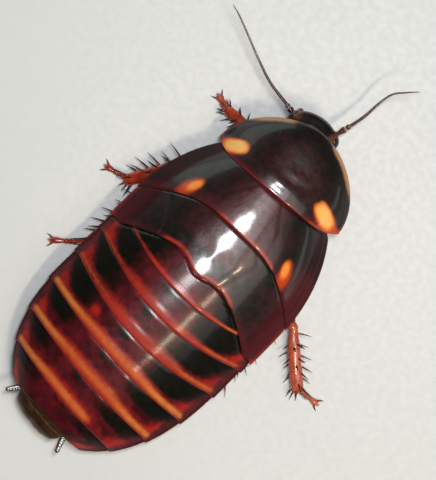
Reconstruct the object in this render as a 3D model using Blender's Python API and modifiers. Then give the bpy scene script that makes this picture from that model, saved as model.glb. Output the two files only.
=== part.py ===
"""A large nymph of the six-spotted roach, Eublaberus distanti, life size, standing on a flat floor.

Sizes are in millimetres, and MM turns them into Blender's metres. The head looks towards -Y,
the animal's left is +X and the floor is z = 0. The origin is the middle of the flat on which
the third abdomen segment rests. The body is laid out straight and then bent a little to its
left; the legs and feelers are placed as they stand.
"""

import math

import bmesh
import bpy
from mathutils import Matrix, Vector

MM = 0.001

# Driving sizes of the body
TAIL_END = 15.6
HALF_WIDTH = 10.5
BODY_TOP = 8.6
PLATE = 0.6
GAP = 0.3
WELD = 0.001
BEND_RADIUS = 200.0
BEND_Y = -12.0

# Outline of the body seen from above
SHOULDER_Y = -8.5
SHOULDER_REACH = 14.3
HIP_Y = -1.5
HIP_WIDTH = 10.42
HIP_POWER = 2.65

# Arch of the back, and the height of its side edge
TOP_Y = -6.5
ARCH_POWER = 2.2
FRONT_ROUND = 0.5
REAR_ROUND = 0.55
TAIL_TOP = 3.0
DOME_SHOULDER = 2.3
EDGE_STATIONS = ((-20.0, 3.5), (-6.0, 3.3), (6.0, 3.0), (TAIL_END, 2.4))
BELLY_STATIONS = (
    (-26.0, 3.2), (-20.0, 2.1), (-5.6, 2.1), (-1.8, -0.12), (5.5, -0.12), (10.5, 0.6), (TAIL_END, 2.2),
)
BELLY_POWER = 2.5

# Pronotum, the shield behind the head
PRO_FRONT = -26.25
PRO_WIDE_Y = -19.6
PRO_HIND = -18.2
PRO_HALF_WIDTH = 7.8
PRO_FRONT_TOP = 5.5
PRO_CORNER_TOP = 3.6
PRO_HIND_BOW = 0.25
PRO_CORNER_ROUND = 1.0
PRO_CORNER_POWER = 8
PRO_OUTLINE_POWER = 1.8
PRO_OUTLINE_ROUND = 0.58
# The shield sits turned a little to the animal's right
PRO_TURN = 0.03
PRO_TURN_CENTRE = -20.0

# Mesonotum and metanotum, the two plates with the wing pads
MESO_FRONT = -19.3
MESO_HIND = -13.0
MESO_PAD = 3.8
MESO_PAD_START = 0.2
MESO_PAD_POWER = 2.2
META_HIND = -7.75
META_CUSP = 0.7
META_CUSP_WIDTH = 0.15
META_PAD = 3.8
META_PAD_START = 0.25
META_PAD_POWER = 1.5
# Its pads reach a little further back on the right, and their hind corners are rounded
META_SKEW = -0.3
META_CORNER = -0.8
META_CORNER_START = 0.85
TUCK = 1.0
LIFT_FRONT = -0.7
LIFT_HIND = 0.22
RISE_LENGTH = 1.5
ROW_CROWDING = 1.2

# Abdomen: mid-line hind edge of each segment, and how far its side ends lie in front of it
ABDOMEN_FRONT = -8.1
SEGMENT_HINDS = (-4.45, -1.4, 1.9, 4.95, 8.35, 11.55, 13.95)
SEGMENT_BOWS = (2.4, 2.1, 1.8, 0.75, 0.4, 0.3, 0.05)
FRONT_BOW = 2.2
# The last segment reaches further back on its left, and its corners are rounded
LAST_SKEW = 0.38
LAST_CORNER = -0.2
# Rows of a segment from front to hind: share of its length, lift off the back, narrowing
SEGMENT_ROWS = ((0.0, -0.35, 0.22), (0.3, -0.12, 0.1), (0.65, 0.05, 0.03), (1.0, 0.12, 0.0))
AROUND = 32
COVER_REACH = 0.55
COVER_SPARE = 0.1

# Legs: the widest half width of each part
COXA_HALF = 1.42
FEMUR_HALF = 0.82
TIBIA_HALF = 0.66
TARSUS_HALF = 0.28
SPINE_RADIUS = 0.26
SPINE_TIP = 0.06
CLAW_RADIUS = 0.22
CLAW_LENGTH = 0.85
LIMB_SIDES = 8

COLOURS = {
    "shell_black": (0.028, 0.014, 0.013, 1.0),
    "shell_red": (0.16, 0.012, 0.010, 1.0),
    "tail_brown": (0.07, 0.030, 0.012, 1.0),
    "belly_red": (0.20, 0.035, 0.015, 1.0),
    "leg_red": (0.33, 0.045, 0.020, 1.0),
    "eye_black": (0.008, 0.007, 0.007, 1.0),
    "feeler_brown": (0.10, 0.035, 0.022, 1.0),
}
ROUGHNESS = {"belly_red": 0.32, "leg_red": 0.25, "feeler_brown": 0.4}


def clear_scene():
    for obj in list(bpy.data.objects):
        bpy.data.objects.remove(obj, do_unlink=True)


def make_material(name):
    """A glossy shell finish in the named colour."""
    found = bpy.data.materials.get(name)
    if found:
        return found
    made = bpy.data.materials.new(name)
    made.use_nodes = True
    shader = made.node_tree.nodes["Principled BSDF"]
    shader.inputs["Base Color"].default_value = COLOURS[name]
    shader.inputs["Roughness"].default_value = ROUGHNESS.get(name, 0.18)
    shader.inputs["Metallic"].default_value = 0.0
    return made


def smooth(t):
    t = min(1.0, max(0.0, t))
    return t * t * (3.0 - 2.0 * t)


def along(y, stations):
    """A height that eases from each (y, height) station to the next."""
    if y <= stations[0][0]:
        return stations[0][1]
    for (y0, z0), (y1, z1) in zip(stations, stations[1:]):
        if y <= y1:
            return z0 + (z1 - z0) * smooth((y - y0) / (y1 - y0))
    return stations[-1][1]


def bent(point):
    """Where a point of the straight body lies once the body curves to its left."""
    x, y, z = point
    turn = (y - BEND_Y) / BEND_RADIUS
    reach = BEND_RADIUS - x
    return (BEND_RADIUS - reach * math.cos(turn), BEND_Y + reach * math.sin(turn), z)


def half_width(y):
    """Half the width of the body behind the pronotum."""
    if y < SHOULDER_Y:
        t = min(1.0, (SHOULDER_Y - y) / SHOULDER_REACH)
        return HALF_WIDTH * math.sqrt(1.0 - t * t)
    if y < HIP_Y:
        return HALF_WIDTH + (HIP_WIDTH - HALF_WIDTH) * smooth((y - SHOULDER_Y) / (HIP_Y - SHOULDER_Y))
    t = min(1.0, (y - HIP_Y) / (TAIL_END - HIP_Y))
    return HIP_WIDTH * math.sqrt(1.0 - t**HIP_POWER)


def mid_height(y):
    """Height of the back's mid line above the floor."""
    if y < TOP_Y:
        t = min(1.0, (TOP_Y - y) / (TOP_Y - PRO_FRONT))
        return PRO_FRONT_TOP + (BODY_TOP - PRO_FRONT_TOP) * (1.0 - t**ARCH_POWER) ** FRONT_ROUND
    t = min(1.0, (y - TOP_Y) / (TAIL_END - TOP_Y))
    return TAIL_TOP + (BODY_TOP - TAIL_TOP) * (1.0 - t**ARCH_POWER) ** REAR_ROUND


def domed(edge, middle, u):
    """Height at u, from 0 on the mid line to 1 at the side edge, of a back between two heights."""
    return edge + (middle - edge) * (1.0 - min(1.0, abs(u)) ** DOME_SHOULDER)


def back_height(x, y):
    """Height of the body's back behind the pronotum."""
    return domed(along(y, EDGE_STATIONS), mid_height(y), x / max(half_width(y), 0.1))


def pronotum_height(x, y):
    """Height of the pronotum, whose edge rises from its hind corners to the front."""
    t = min(1.0, max(0.0, (PRO_WIDE_Y - y) / (PRO_WIDE_Y - PRO_FRONT)))
    width = PRO_HALF_WIDTH * (1.0 - t**PRO_OUTLINE_POWER) ** PRO_OUTLINE_ROUND
    edge = PRO_CORNER_TOP + (PRO_FRONT_TOP - PRO_CORNER_TOP) * t**1.5
    return domed(edge, mid_height(y), x / max(width, 0.1))


def surface_point(height, limit, x, y, lift):
    """The point of a back surface over (x, y), moved by lift along the surface's own normal."""
    step = 0.05
    inner = max(-limit, min(limit, x))
    inner_y = max(y, PRO_FRONT + 0.15)
    slope_x = (height(inner + step, inner_y) - height(inner - step, inner_y)) / (2.0 * step)
    slope_y = (height(inner, inner_y + step) - height(inner, inner_y - step)) / (2.0 * step)
    normal = Vector((-slope_x, -slope_y, 1.0)).normalized()
    return Vector((x, y, height(x, y))) + normal * lift


def add_object(name, bm, material):
    """Turns a bmesh in millimetres into a smooth-shaded object in metres."""
    bmesh.ops.scale(bm, vec=(MM, MM, MM), verts=bm.verts)
    mesh = bpy.data.meshes.new(name)
    bm.to_mesh(mesh)
    bm.free()
    mesh.shade_smooth()
    mesh.set_sharp_from_angle(angle=math.radians(50.0))
    mesh.materials.append(make_material(material))
    obj = bpy.data.objects.new(name, mesh)
    ANIMAL.objects.link(obj)
    return obj


def loft(name, rings, material):
    """A closed solid through a row of rings; a fan to the middle closes the first and the last."""
    bm = bmesh.new()
    loops = [[bm.verts.new(point) for point in ring] for ring in rings]
    count = len(rings[0])
    for first, second in zip(loops, loops[1:]):
        for k in range(count):
            following = (k + 1) % count
            bm.faces.new((first[k], first[following], second[following], second[k]))
    for loop in (loops[0], loops[-1]):
        middle = bm.verts.new((loop[count // 4].co + loop[3 * count // 4].co) / 2.0)
        for k in range(count):
            bm.faces.new((loop[k], loop[(k + 1) % count], middle))
    bmesh.ops.recalc_face_normals(bm, faces=bm.faces)
    return add_object(name, bm, material)


def evaluated_mesh(obj):
    """The object's mesh with its modifiers applied."""
    bpy.context.view_layer.update()
    graph = bpy.context.evaluated_depsgraph_get()
    return bpy.data.meshes.new_from_object(obj.evaluated_get(graph))


def keep_largest(obj):
    """Drops every loose piece of the mesh but the one with the most faces, and its tiniest edges."""
    bm = bmesh.new()
    bm.from_mesh(obj.data)
    unseen = set(bm.faces)
    pieces = []
    while unseen:
        piece = []
        reach = [unseen.pop()]
        while reach:
            face = reach.pop()
            piece.append(face)
            for edge in face.edges:
                for other in edge.link_faces:
                    if other in unseen:
                        unseen.remove(other)
                        reach.append(other)
        pieces.append(piece)
    pieces.sort(key=len)
    for piece in pieces[:-1]:
        bmesh.ops.delete(bm, geom=piece, context="FACES")
    loose = [v for v in bm.verts if not v.link_faces]
    bmesh.ops.delete(bm, geom=loose, context="VERTS")
    bmesh.ops.remove_doubles(bm, verts=bm.verts, dist=WELD * MM)
    bmesh.ops.dissolve_degenerate(bm, edges=bm.edges, dist=WELD * MM)
    bm.to_mesh(obj.data)
    bm.free()


def combine(target, others, operation):
    """Joins others to target, or cuts them from it, in one applied Boolean."""
    group = bpy.data.collections.new(target.name + "_pieces")
    bpy.context.scene.collection.children.link(group)
    for other in others:
        ANIMAL.objects.unlink(other)
        group.objects.link(other)
    step = target.modifiers.new("combine", "BOOLEAN")
    step.operation = operation
    step.solver = "EXACT"
    step.operand_type = "COLLECTION"
    step.collection = group
    mesh = evaluated_mesh(target)
    target.modifiers.clear()
    target.data = mesh
    for other in others:
        bpy.data.objects.remove(other, do_unlink=True)
    bpy.data.collections.remove(group)
    keep_largest(target)


def plate_sheet(name, across, lengthwise, place):
    """A plate of across by lengthwise cells; place gives the point of its top for u in -1..1, v in 0..1."""
    bm = bmesh.new()
    bmesh.ops.create_grid(bm, x_segments=across, y_segments=lengthwise, size=1.0)
    for vert in bm.verts:
        u = math.sin(vert.co.x * math.pi / 2.0)
        v = (vert.co.y + 1.0) / 2.0
        vert.co = Vector(bent(place(u, v)))
    plate = add_object(name, bm, "shell_black")
    step = plate.modifiers.new("thickness", "SOLIDIFY")
    step.thickness = PLATE * MM
    step.offset = -1.0


def lift_at(shown, length):
    """How far a plate stands off the back at shown behind the edge of the plate before it.

    It is tucked in at that edge, and proud at its own hind edge, length further back.
    """
    rise = LIFT_FRONT * (1.0 - smooth((shown - 0.1) / RISE_LENGTH))
    return rise + LIFT_HIND * smooth(shown / length)


def pronotum_hind(u):
    return PRO_HIND - PRO_HIND_BOW * u * u - PRO_CORNER_ROUND * u**PRO_CORNER_POWER


def pronotum_point(u, v):
    x = PRO_HALF_WIDTH * u
    arch = (1.0 - abs(u) ** (1.0 / PRO_OUTLINE_ROUND)) ** (1.0 / PRO_OUTLINE_POWER)
    front = PRO_WIDE_Y - (PRO_WIDE_Y - PRO_FRONT) * arch
    y = front + (pronotum_hind(u) - front) * v
    lift = LIFT_HIND * smooth((v - 0.5) / 0.5)
    point = surface_point(pronotum_height, PRO_HALF_WIDTH - 0.9, x, y, lift)
    turned = Vector((-PRO_TURN * (point.y - PRO_TURN_CENTRE), PRO_TURN * point.x, 0.0))
    return point + turned


def pad_share(u, start, power):
    """0 on the middle line, growing from start to 1 at the side edge."""
    return max(0.0, (abs(u) - start) / (1.0 - start)) ** power


def meso_hind(u):
    return MESO_HIND + MESO_PAD * pad_share(u, MESO_PAD_START, MESO_PAD_POWER)


def meta_hind(u):
    cusp = META_CUSP * math.exp(-((u / META_CUSP_WIDTH) ** 2))
    corner = META_CORNER * smooth((abs(u) - META_CORNER_START) / (1.0 - META_CORNER_START))
    return META_HIND + cusp + META_PAD * pad_share(u, META_PAD_START, META_PAD_POWER) + META_SKEW * u + corner


def mesonotum_point(u, v):
    before, hind = PRO_HIND - 0.7 * u * u, meso_hind(u)
    y = MESO_FRONT + (hind - MESO_FRONT) * v**ROW_CROWDING
    width = half_width(y)
    return surface_point(back_height, width - 0.4, width * u, y, lift_at(y - before, hind - before))


def metanotum_lift(u, y):
    before = meso_hind(u)
    return lift_at(y - before, meta_hind(u) - before)


def metanotum_point(u, v):
    front = meso_hind(u) - TUCK
    y = front + (meta_hind(u) - front) * v**ROW_CROWDING
    width = half_width(y)
    return surface_point(back_height, width - 0.4, width * u, y, metanotum_lift(u, y))


def build_thorax_plates():
    plate_sheet("pronotum", 24, 9, pronotum_point)
    plate_sheet("mesonotum", 24, 9, mesonotum_point)
    plate_sheet("metanotum", 26, 9, metanotum_point)


def covered_lift(u, y, lift):
    """The lift of the abdomen's back, sunk where the metanotum and its pads lie over it."""
    hind = meta_hind(u)
    if y > hind + COVER_REACH:
        return lift
    return min(lift, metanotum_lift(u, y) - PLATE - GAP - COVER_SPARE)


def segment_ring(y_of_u, proud, narrow):
    """One ring round the abdomen: over the back from side to side, and home under the belly."""
    half = AROUND // 2
    edges = {}
    for side in (-1.0, 1.0):
        y = y_of_u(side)
        width = half_width(y)
        lift = covered_lift(side, y, 0.0)
        edges[side] = surface_point(back_height, width - 0.4, side * (width - narrow), y, lift)
    ring = []
    for k in range(AROUND):
        angle = 2.0 * math.pi * k / AROUND
        u = -math.cos(angle)
        y = y_of_u(u)
        edge = edges[math.copysign(1.0, u)]
        if 0 < k < half:
            width = half_width(y)
            lift = covered_lift(u, y, proud * math.sin(angle))
            point = surface_point(back_height, width - 0.4, (width - narrow) * u, y, lift)
        elif k in (0, half):
            point = Vector((edge.x, edge.y, edge.z - 0.1))
        else:
            belly = along(y, BELLY_STATIONS)
            rise = (edge.z - 0.2 - belly) * abs(u) ** BELLY_POWER
            point = Vector((abs(edge.x) * u, y, max(0.0, belly + rise)))
        ring.append(bent(point))
    return ring


def build_abdomen():
    """Seven segments, each a closed slice whose hind rim stands proud of the next one."""
    front, front_bow = ABDOMEN_FRONT, FRONT_BOW
    for index, (hind, bow) in enumerate(zip(SEGMENT_HINDS, SEGMENT_BOWS)):
        rings = []
        for v, lift, narrow in SEGMENT_ROWS:

            def y_of_u(u, v=v, front=front, front_bow=front_bow, hind=hind, bow=bow, last=index == 6):
                begin = front - front_bow * u * u
                end = hind - bow * u * u
                if last:
                    end += LAST_SKEW * max(0.0, u) + LAST_CORNER * smooth((abs(u) - 0.75) / 0.25)
                return begin + (end - begin) * v

            rings.append(segment_ring(y_of_u, lift, narrow))
        loft(f"abdomen_segment_{index + 1}", rings, "shell_red")
        front, front_bow = hind + GAP, bow


# Tail plate: y, half width, top and bottom
TAIL_STATIONS = (
    (14.6, 2.85, 4.15, 2.15), (14.95, 2.85, 3.95, 2.2), (15.3, 2.6, 3.7, 2.35), (15.57, 2.2, 3.45, 2.5),
    (15.75, 1.5, 3.2, 2.65),
)


def build_tail_plate():
    """The rounded supra-anal plate that ends the back."""
    rings = []
    for station_y, width, high, low in TAIL_STATIONS:
        ring = []
        for k in range(20):
            angle = 2.0 * math.pi * k / 20
            x = -width * math.cos(angle)
            rise = math.sin(angle)
            middle = (high + low) / 2.0
            z = middle + rise * (high - low) / 2.0
            y = station_y - 0.12 * (x / 2.4) ** 2
            ring.append(bent((x, y, z)))
        rings.append(ring)
    loft("supra_anal_plate", rings, "tail_brown")


# Underside of the thorax: y, half width, top and bottom
CORE_STATIONS = (
    (-24.0, 1.9, 4.7, 2.9), (-23.0, 2.9, 5.2, 2.5), (-21.0, 3.9, 5.7, 2.2), (-18.5, 4.6, 6.0, 2.1),
    (-15.0, 5.4, 6.5, 2.1), (-11.5, 6.0, 6.7, 2.1), (-8.4, 6.0, 6.6, 2.3),
)


def build_thorax_core():
    """The underside of the thorax, to which the plates, the head and the coxae fit."""
    rings = []
    for y, width, high, low in CORE_STATIONS:
        ring = []
        for k in range(20):
            angle = 2.0 * math.pi * k / 20
            across, up = math.cos(angle), math.sin(angle)
            x = width * math.copysign(abs(across) ** 0.8, across)
            middle = (high + low) / 2.0
            z = middle + (high - low) / 2.0 * math.copysign(abs(up) ** 0.8, up)
            bow = FRONT_BOW * abs(x) / HALF_WIDTH if y > -9.0 else 0.0
            ring.append(bent((x, y - bow, z)))
        rings.append(ring)
    loft("thorax_underside", rings, "belly_red")


def catmull(points, t):
    """A point on the smooth curve through points, for t in 0..1."""
    spans = len(points) - 1
    place = min(spans - 1e-9, max(0.0, t * spans))
    i = int(place)
    f = place - i
    p1, p2 = Vector(points[i]), Vector(points[i + 1])
    p0 = Vector(points[i - 1]) if i > 0 else p1 * 2.0 - p2
    p3 = Vector(points[i + 2]) if i + 2 <= spans else p2 * 2.0 - p1
    return (p1 * 2.0 + (p2 - p0) * f + (p0 * 2.0 - p1 * 5.0 + p2 * 4.0 - p3) * f * f
            + (p1 * 3.0 - p0 - p2 * 3.0 + p3) * f**3) * 0.5


def limb_rings(path, profile):
    """Rings along a smooth path above the floor; profile holds (t, half width, half height)."""
    rings = []

    def ring_at(t, wide, high, shift):
        centre = catmull(path, t)
        ahead = (catmull(path, min(1.0, t + 0.02)) - catmull(path, max(0.0, t - 0.02))).normalized()
        side = ahead.cross(Vector((0.0, 0.0, 1.0))).normalized()
        up = side.cross(ahead)
        ring = []
        for k in range(LIMB_SIDES):
            angle = 2.0 * math.pi * (k + 0.5) / LIMB_SIDES
            point = centre + ahead * shift + side * wide * math.cos(angle) + up * high * math.sin(angle)
            point.z = max(0.0, point.z)
            ring.append(point)
        rings.append(ring)

    first, last = profile[0], profile[-1]
    ring_at(first[0], first[1] * 0.6, first[2] * 0.6, -0.35 * first[1])
    for t, wide, high in profile:
        ring_at(t, wide, high, 0.0)
    ring_at(last[0], last[1] * 0.6, last[2] * 0.6, 0.35 * last[1])
    return rings


def spine(root, direction, length, radius=SPINE_RADIUS):
    """A tapered spine, its root sunk a little into the limb that carries it."""
    bm = bmesh.new()
    bmesh.ops.create_cone(bm, cap_ends=True, segments=5, radius1=radius, radius2=SPINE_TIP, depth=length)
    direction = Vector(direction).normalized()
    turn = direction.to_track_quat("Z", "Y").to_matrix().to_4x4()
    middle = Vector(root) + direction * (length / 2.0)
    bmesh.ops.transform(bm, matrix=Matrix.Translation(middle) @ turn, verts=bm.verts)
    bmesh.ops.recalc_face_normals(bm, faces=bm.faces)
    return add_object("spine", bm, "leg_red")


# Spine rows of a tibia: angle round it from its outer side, share of the length where the row
# starts and ends, number of spines, and their length
SPINE_ROWS = ((6.0, 0.2, 0.95, 6, 1.55), (172.0, 0.42, 0.93, 4, 1.4), (62.0, 0.35, 0.9, 3, 1.15))
SPINE_LEAN = (0.1, 1.1)

LEGS = {
    "left_fore": {
        "coxa": ((1.45, -22.5, 1.3), (2.6, -18.9, 1.15)),
        "shoulder": (3.75, -18.7, 1.15), "knee": (5.4, -21.4, 1.7), "ankle": (9.15, -21.4, 0.8),
        "tip": (10.85, -21.85, 0.3), "scale": 0.9,
    },
    "left_mid": {
        "coxa": ((1.75, -16.6, 1.25), (3.3, -12.5, 1.05)),
        "shoulder": (4.5, -12.2, 1.1), "knee": (8.4, -15.2, 1.8), "ankle": (11.75, -9.2, 0.8),
        "tip": (14.25, -8.65, 0.3), "scale": 1.0,
    },
    "left_hind": {
        "coxa": ((1.85, -10.8, 1.25), (3.7, -6.4, 1.0)),
        "shoulder": (4.9, -6.1, 1.0), "knee": (9.4, -9.6, 1.75), "ankle": (10.25, -1.7, 0.8),
        "tip": (13.2, 0.75, 0.3), "scale": 1.0,
    },
    "right_fore": {
        "coxa": ((-0.85, -22.5, 1.35), (-2.0, -18.9, 1.15)),
        "shoulder": (-3.15, -18.2, 1.15), "knee": (-5.5, -19.8, 1.7), "ankle": (-4.2, -22.8, 0.8),
        "tip": (-3.05, -24.8, 0.3), "scale": 0.85,
    },
    "right_mid": {
        "coxa": ((-1.55, -16.6, 1.25), (-3.1, -12.5, 1.05)),
        "shoulder": (-4.3, -12.1, 1.1), "knee": (-10.75, -10.1, 1.9), "ankle": (-15.65, -5.6, 0.8),
        "tip": (-18.1, -5.8, 0.3), "scale": 1.08,
    },
    "right_hind": {
        "coxa": ((-1.85, -10.8, 1.25), (-3.5, -6.4, 1.0)),
        "shoulder": (-4.7, -6.0, 1.0), "knee": (-8.8, -9.0, 1.75), "ankle": (-9.15, -1.1, 0.8),
        "tip": (-8.9, 2.7, 0.3), "scale": 1.0,
    },
}


def build_tibia(name, leg, side):
    knee, ankle = Vector(leg["knee"]), Vector(leg["ankle"])
    size = TIBIA_HALF * leg["scale"]
    profile = (
        (0.0, 0.3, 0.3), (0.12, size * 0.75, size * 0.6), (0.4, size, size * 0.75),
        (0.72, size, size * 0.75), (0.94, size * 0.8, size * 0.6), (1.0, size * 0.55, size * 0.45),
    )
    shin = loft("tibia_" + name, limb_rings((knee, ankle), profile), "leg_red")
    ahead = (ankle - knee).normalized()
    across = ahead.cross(Vector((0.0, 0.0, 1.0))).normalized()
    outward = across if (across.x > 0.0) == (side > 0.0) else -across
    up = Vector((0.0, 0.0, 1.0))
    spines = []
    for angle, start, end, count, length in SPINE_ROWS:
        turn = math.radians(angle)
        away = outward * math.cos(turn) + up * math.sin(turn)
        for k in range(count):
            t = start + (end - start) * k / max(1, count - 1)
            lean = SPINE_LEAN[0] + (SPINE_LEAN[1] - SPINE_LEAN[0]) * t * t
            root = knee.lerp(ankle, t) + away * size * 0.3
            reach = length * leg["scale"] * (1.0 + 0.12 * math.sin(2.3 * k + angle))
            spines.append(spine(root, away + ahead * lean, reach + size * 0.5))
    combine(shin, spines, "UNION")


def build_tarsus(name, leg):
    """The foot: four short joints and a long one that widens to the pad, with two claws."""
    ankle, tip = Vector(leg["ankle"]), Vector(leg["tip"])
    ahead = (tip - ankle).normalized()
    start = ankle + ahead * 0.85
    start.z = 0.42
    size = TARSUS_HALF
    profile = [(0.0, size * 0.9, size * 0.9)]
    for k in range(4):
        begin, end = 0.11 * k, 0.11 * (k + 1)
        profile += [(begin + 0.07, size * 1.15, size), (end, size * 0.85, size * 0.85)]
    profile += [(0.7, size * 1.0, size), (0.93, size * 1.4, size * 1.1), (1.0, size * 1.2, size)]
    foot = loft("tarsus_" + name, limb_rings((start, tip), profile), "leg_red")
    across = ahead.cross(Vector((0.0, 0.0, 1.0))).normalized()
    claws = []
    for way in (-1.0, 1.0):
        root = tip + across * way * 0.14
        claws.append(spine(root, ahead + across * way * 0.75, CLAW_LENGTH, CLAW_RADIUS))
    combine(foot, claws, "UNION")


def build_legs():
    for name, leg in LEGS.items():
        side = 1.0 if name.startswith("left") else -1.0
        root, end = Vector(leg["coxa"][0]), Vector(leg["coxa"][1])
        size = COXA_HALF * leg["scale"]
        profile = ((0.0, size * 0.65, 0.48), (0.25, size, 0.56), (0.6, size * 0.85, 0.55), (1.0, 0.5, 0.42))
        loft("coxa_" + name, limb_rings((root, end), profile), "leg_red")

        shoulder, knee, ankle = Vector(leg["shoulder"]), Vector(leg["knee"]), Vector(leg["ankle"])
        trochanter = end + (end - root).normalized() * 0.95
        thigh_end = knee + (shoulder - knee).normalized() * 0.9
        size = FEMUR_HALF * leg["scale"]
        path = (trochanter, shoulder, shoulder.lerp(thigh_end, 0.5), thigh_end)
        profile = ((0.0, 0.42, 0.36), (0.2, size * 0.8, size * 0.6), (0.4, size, size * 0.72),
                   (0.6, size * 1.0, size * 0.74), (0.85, size * 0.72, size * 0.62), (1.0, 0.4, 0.38))
        loft("femur_" + name, limb_rings(path, profile), "leg_red")
        build_tibia(name, leg, side)
        build_tarsus(name, leg)


# Head: height, half width, half depth and the y of the middle of each level
HEAD_LEVELS = (
    (0.55, 0.6, 0.4, -24.85), (0.8, 1.1, 0.65, -24.9), (1.3, 1.6, 0.95, -25.05), (2.0, 2.1, 1.25, -25.3),
    (2.8, 2.6, 1.55, -25.55), (3.4, 2.8, 1.7, -25.7), (3.9, 2.72, 1.6, -25.75), (4.3, 2.3, 1.25, -25.75),
    (4.55, 1.5, 0.75, -25.65),
)
HEAD_CENTRE = (1.4, -25.6)
HEAD_YAW = math.radians(10.0)
EYE_PLACE = (2.45, -25.55, 3.35)
EYE_SIZE = (0.45, 0.72, 0.85)
SOCKET_PLACE = (2.05, -26.45, 3.1)


def head_point(point):
    """A point of the straight head, turned to the left and set at the front of the body."""
    x, y, z = point
    y -= HEAD_CENTRE[1]
    cosine, sine = math.cos(HEAD_YAW), math.sin(HEAD_YAW)
    return Vector((HEAD_CENTRE[0] + x * cosine - y * sine, HEAD_CENTRE[1] + x * sine + y * cosine, z))


def ellipsoid(name, centre, size, material):
    bm = bmesh.new()
    bmesh.ops.create_uvsphere(bm, u_segments=12, v_segments=8, radius=1.0)
    for vert in bm.verts:
        x, y, z = (centre[i] + vert.co[i] * size[i] for i in range(3))
        vert.co = head_point((x, y, z))
    bmesh.ops.recalc_face_normals(bm, faces=bm.faces)
    return add_object(name, bm, material)


def build_head():
    rings = []
    for z, width, depth, middle in HEAD_LEVELS:
        ring = []
        for k in range(18):
            angle = 2.0 * math.pi * k / 18
            ring.append(head_point((width * math.cos(angle), middle + depth * math.sin(angle), z)))
        rings.append(ring)
    head = loft("head", rings, "shell_black")
    x, y, z = SOCKET_PLACE
    parts = [ellipsoid("labrum", (0.0, -25.75, 1.25), (0.85, 0.42, 0.6), "shell_black")]
    for side in (-1, 1):
        parts.append(ellipsoid("jaw", (side * 0.95, -25.3, 1.0), (0.5, 0.6, 0.5), "shell_black"))
        parts.append(ellipsoid("socket", (side * x, y, z), (0.5, 0.45, 0.5), "shell_black"))
    combine(head, parts, "UNION")
    room = []
    for side, name in ((1, "eye_left"), (-1, "eye_right")):
        centre = (side * EYE_PLACE[0], EYE_PLACE[1], EYE_PLACE[2])
        ellipsoid(name, centre, EYE_SIZE, "eye_black")
        room.append(ellipsoid("eye_room", centre, [s + GAP for s in EYE_SIZE], "eye_black"))
    combine(head, room, "DIFFERENCE")


# Feelers: the middle line of each, as it stands
FEELERS = {
    "left": (
        (4.3, -25.75, 3.2), (5.7, -26.0, 3.3), (7.95, -26.35, 3.7), (10.4, -27.2, 4.2), (12.9, -28.25, 4.7),
        (14.9, -29.05, 5.2), (16.1, -29.4, 5.5),
    ),
    "right": (
        (-0.68, -27.6, 3.2), (-1.1, -29.2, 3.4), (-1.4, -30.7, 3.6), (-1.55, -32.6, 4.0),
        (-1.9, -34.0, 4.6), (-2.75, -35.0, 5.3), (-3.7, -35.95, 6.1),
    ),
}
FEELER_RADIUS = 0.27
FEELER_END = 0.2
FEELER_TIP = 0.1
FEELER_STEPS = 12
WHIP_END = 0.99
# The two thick first joints: share of the feeler's length and radius
FEELER_BASE = (
    (0.0, 0.24), (0.015, 0.33), (0.05, 0.36), (0.075, 0.26), (0.09, 0.3), (0.11, 0.3), (0.125, 0.26),
)


def tube(name, path, profile, material):
    """A round rod along the smooth curve through path; profile holds (share of length, radius)."""
    curve = bpy.data.curves.new(name, "CURVE")
    curve.dimensions = "3D"
    curve.bevel_depth = MM
    curve.bevel_resolution = 2
    curve.use_fill_caps = True
    spline = curve.splines.new("POLY")
    spline.points.add(len(profile) - 1)
    for point, (t, radius) in zip(spline.points, profile):
        point.co = (*(catmull(path, t) * MM), 1.0)
        point.radius = radius
    curve.materials.append(make_material(material))
    ANIMAL.objects.link(bpy.data.objects.new(name, curve))


def build_feelers():
    """Each feeler is a thick first joint, a short second one and a long tapering whip."""
    for side, path in FEELERS.items():
        profile = list(FEELER_BASE)
        whip_start = profile[-1][0]
        for k in range(1, FEELER_STEPS + 1):
            share = k / FEELER_STEPS
            t = whip_start + (WHIP_END - whip_start) * share
            profile.append((t, FEELER_RADIUS + (FEELER_END - FEELER_RADIUS) * share))
        profile.append((1.0, FEELER_TIP))
        tube("antenna_" + side, path, profile, "feeler_brown")


PALP = ((1.5, -24.2, 0.95), (2.1, -24.8, 0.6), (2.25, -25.8, 0.42), (1.8, -26.6, 0.36))
CERCUS = ((3.65, 14.55, 3.0), (4.15, 15.55, 3.15))


def build_palps():
    profile = ((0.0, 0.2), (0.05, 0.27), (0.3, 0.25), (0.6, 0.25), (0.85, 0.3), (1.0, 0.2))
    for side, name in ((1, "palp_left"), (-1, "palp_right")):
        path = [head_point((side * x, y, z)) for x, y, z in PALP]
        tube(name, path, profile, "leg_red")


def build_cerci():
    profile = ((0.0, 0.2), (0.08, 0.3), (0.35, 0.33), (0.7, 0.27), (1.0, 0.12))
    for side, name in ((1, "cercus_left"), (-1, "cercus_right")):
        path = [bent((side * x, y, z)) for x, y, z in CERCUS]
        tube(name, path, profile, "tail_brown")


def main():
    build_thorax_plates()
    build_abdomen()
    build_tail_plate()
    build_thorax_core()
    build_head()
    build_legs()
    build_feelers()
    build_palps()
    build_cerci()


clear_scene()
ANIMAL = bpy.data.collections.new("roach_nymph")
bpy.context.scene.collection.children.link(ANIMAL)
main()
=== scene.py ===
"""Looks of the six-spotted roach nymph: fine shell plates, head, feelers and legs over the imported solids.

Sizes are in millimetres, in the frame of the part's source, and MM turns them into metres. The head
looks towards -Y, the animal's left is +X and the floor is z = 0. The body is laid out straight and
then bent a little to its left, as in the source. Markings are formulas kept as mesh attributes,
which the node materials read.
"""

import math

import bpy
import numpy as np
from mathutils import Matrix, Vector


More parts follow.
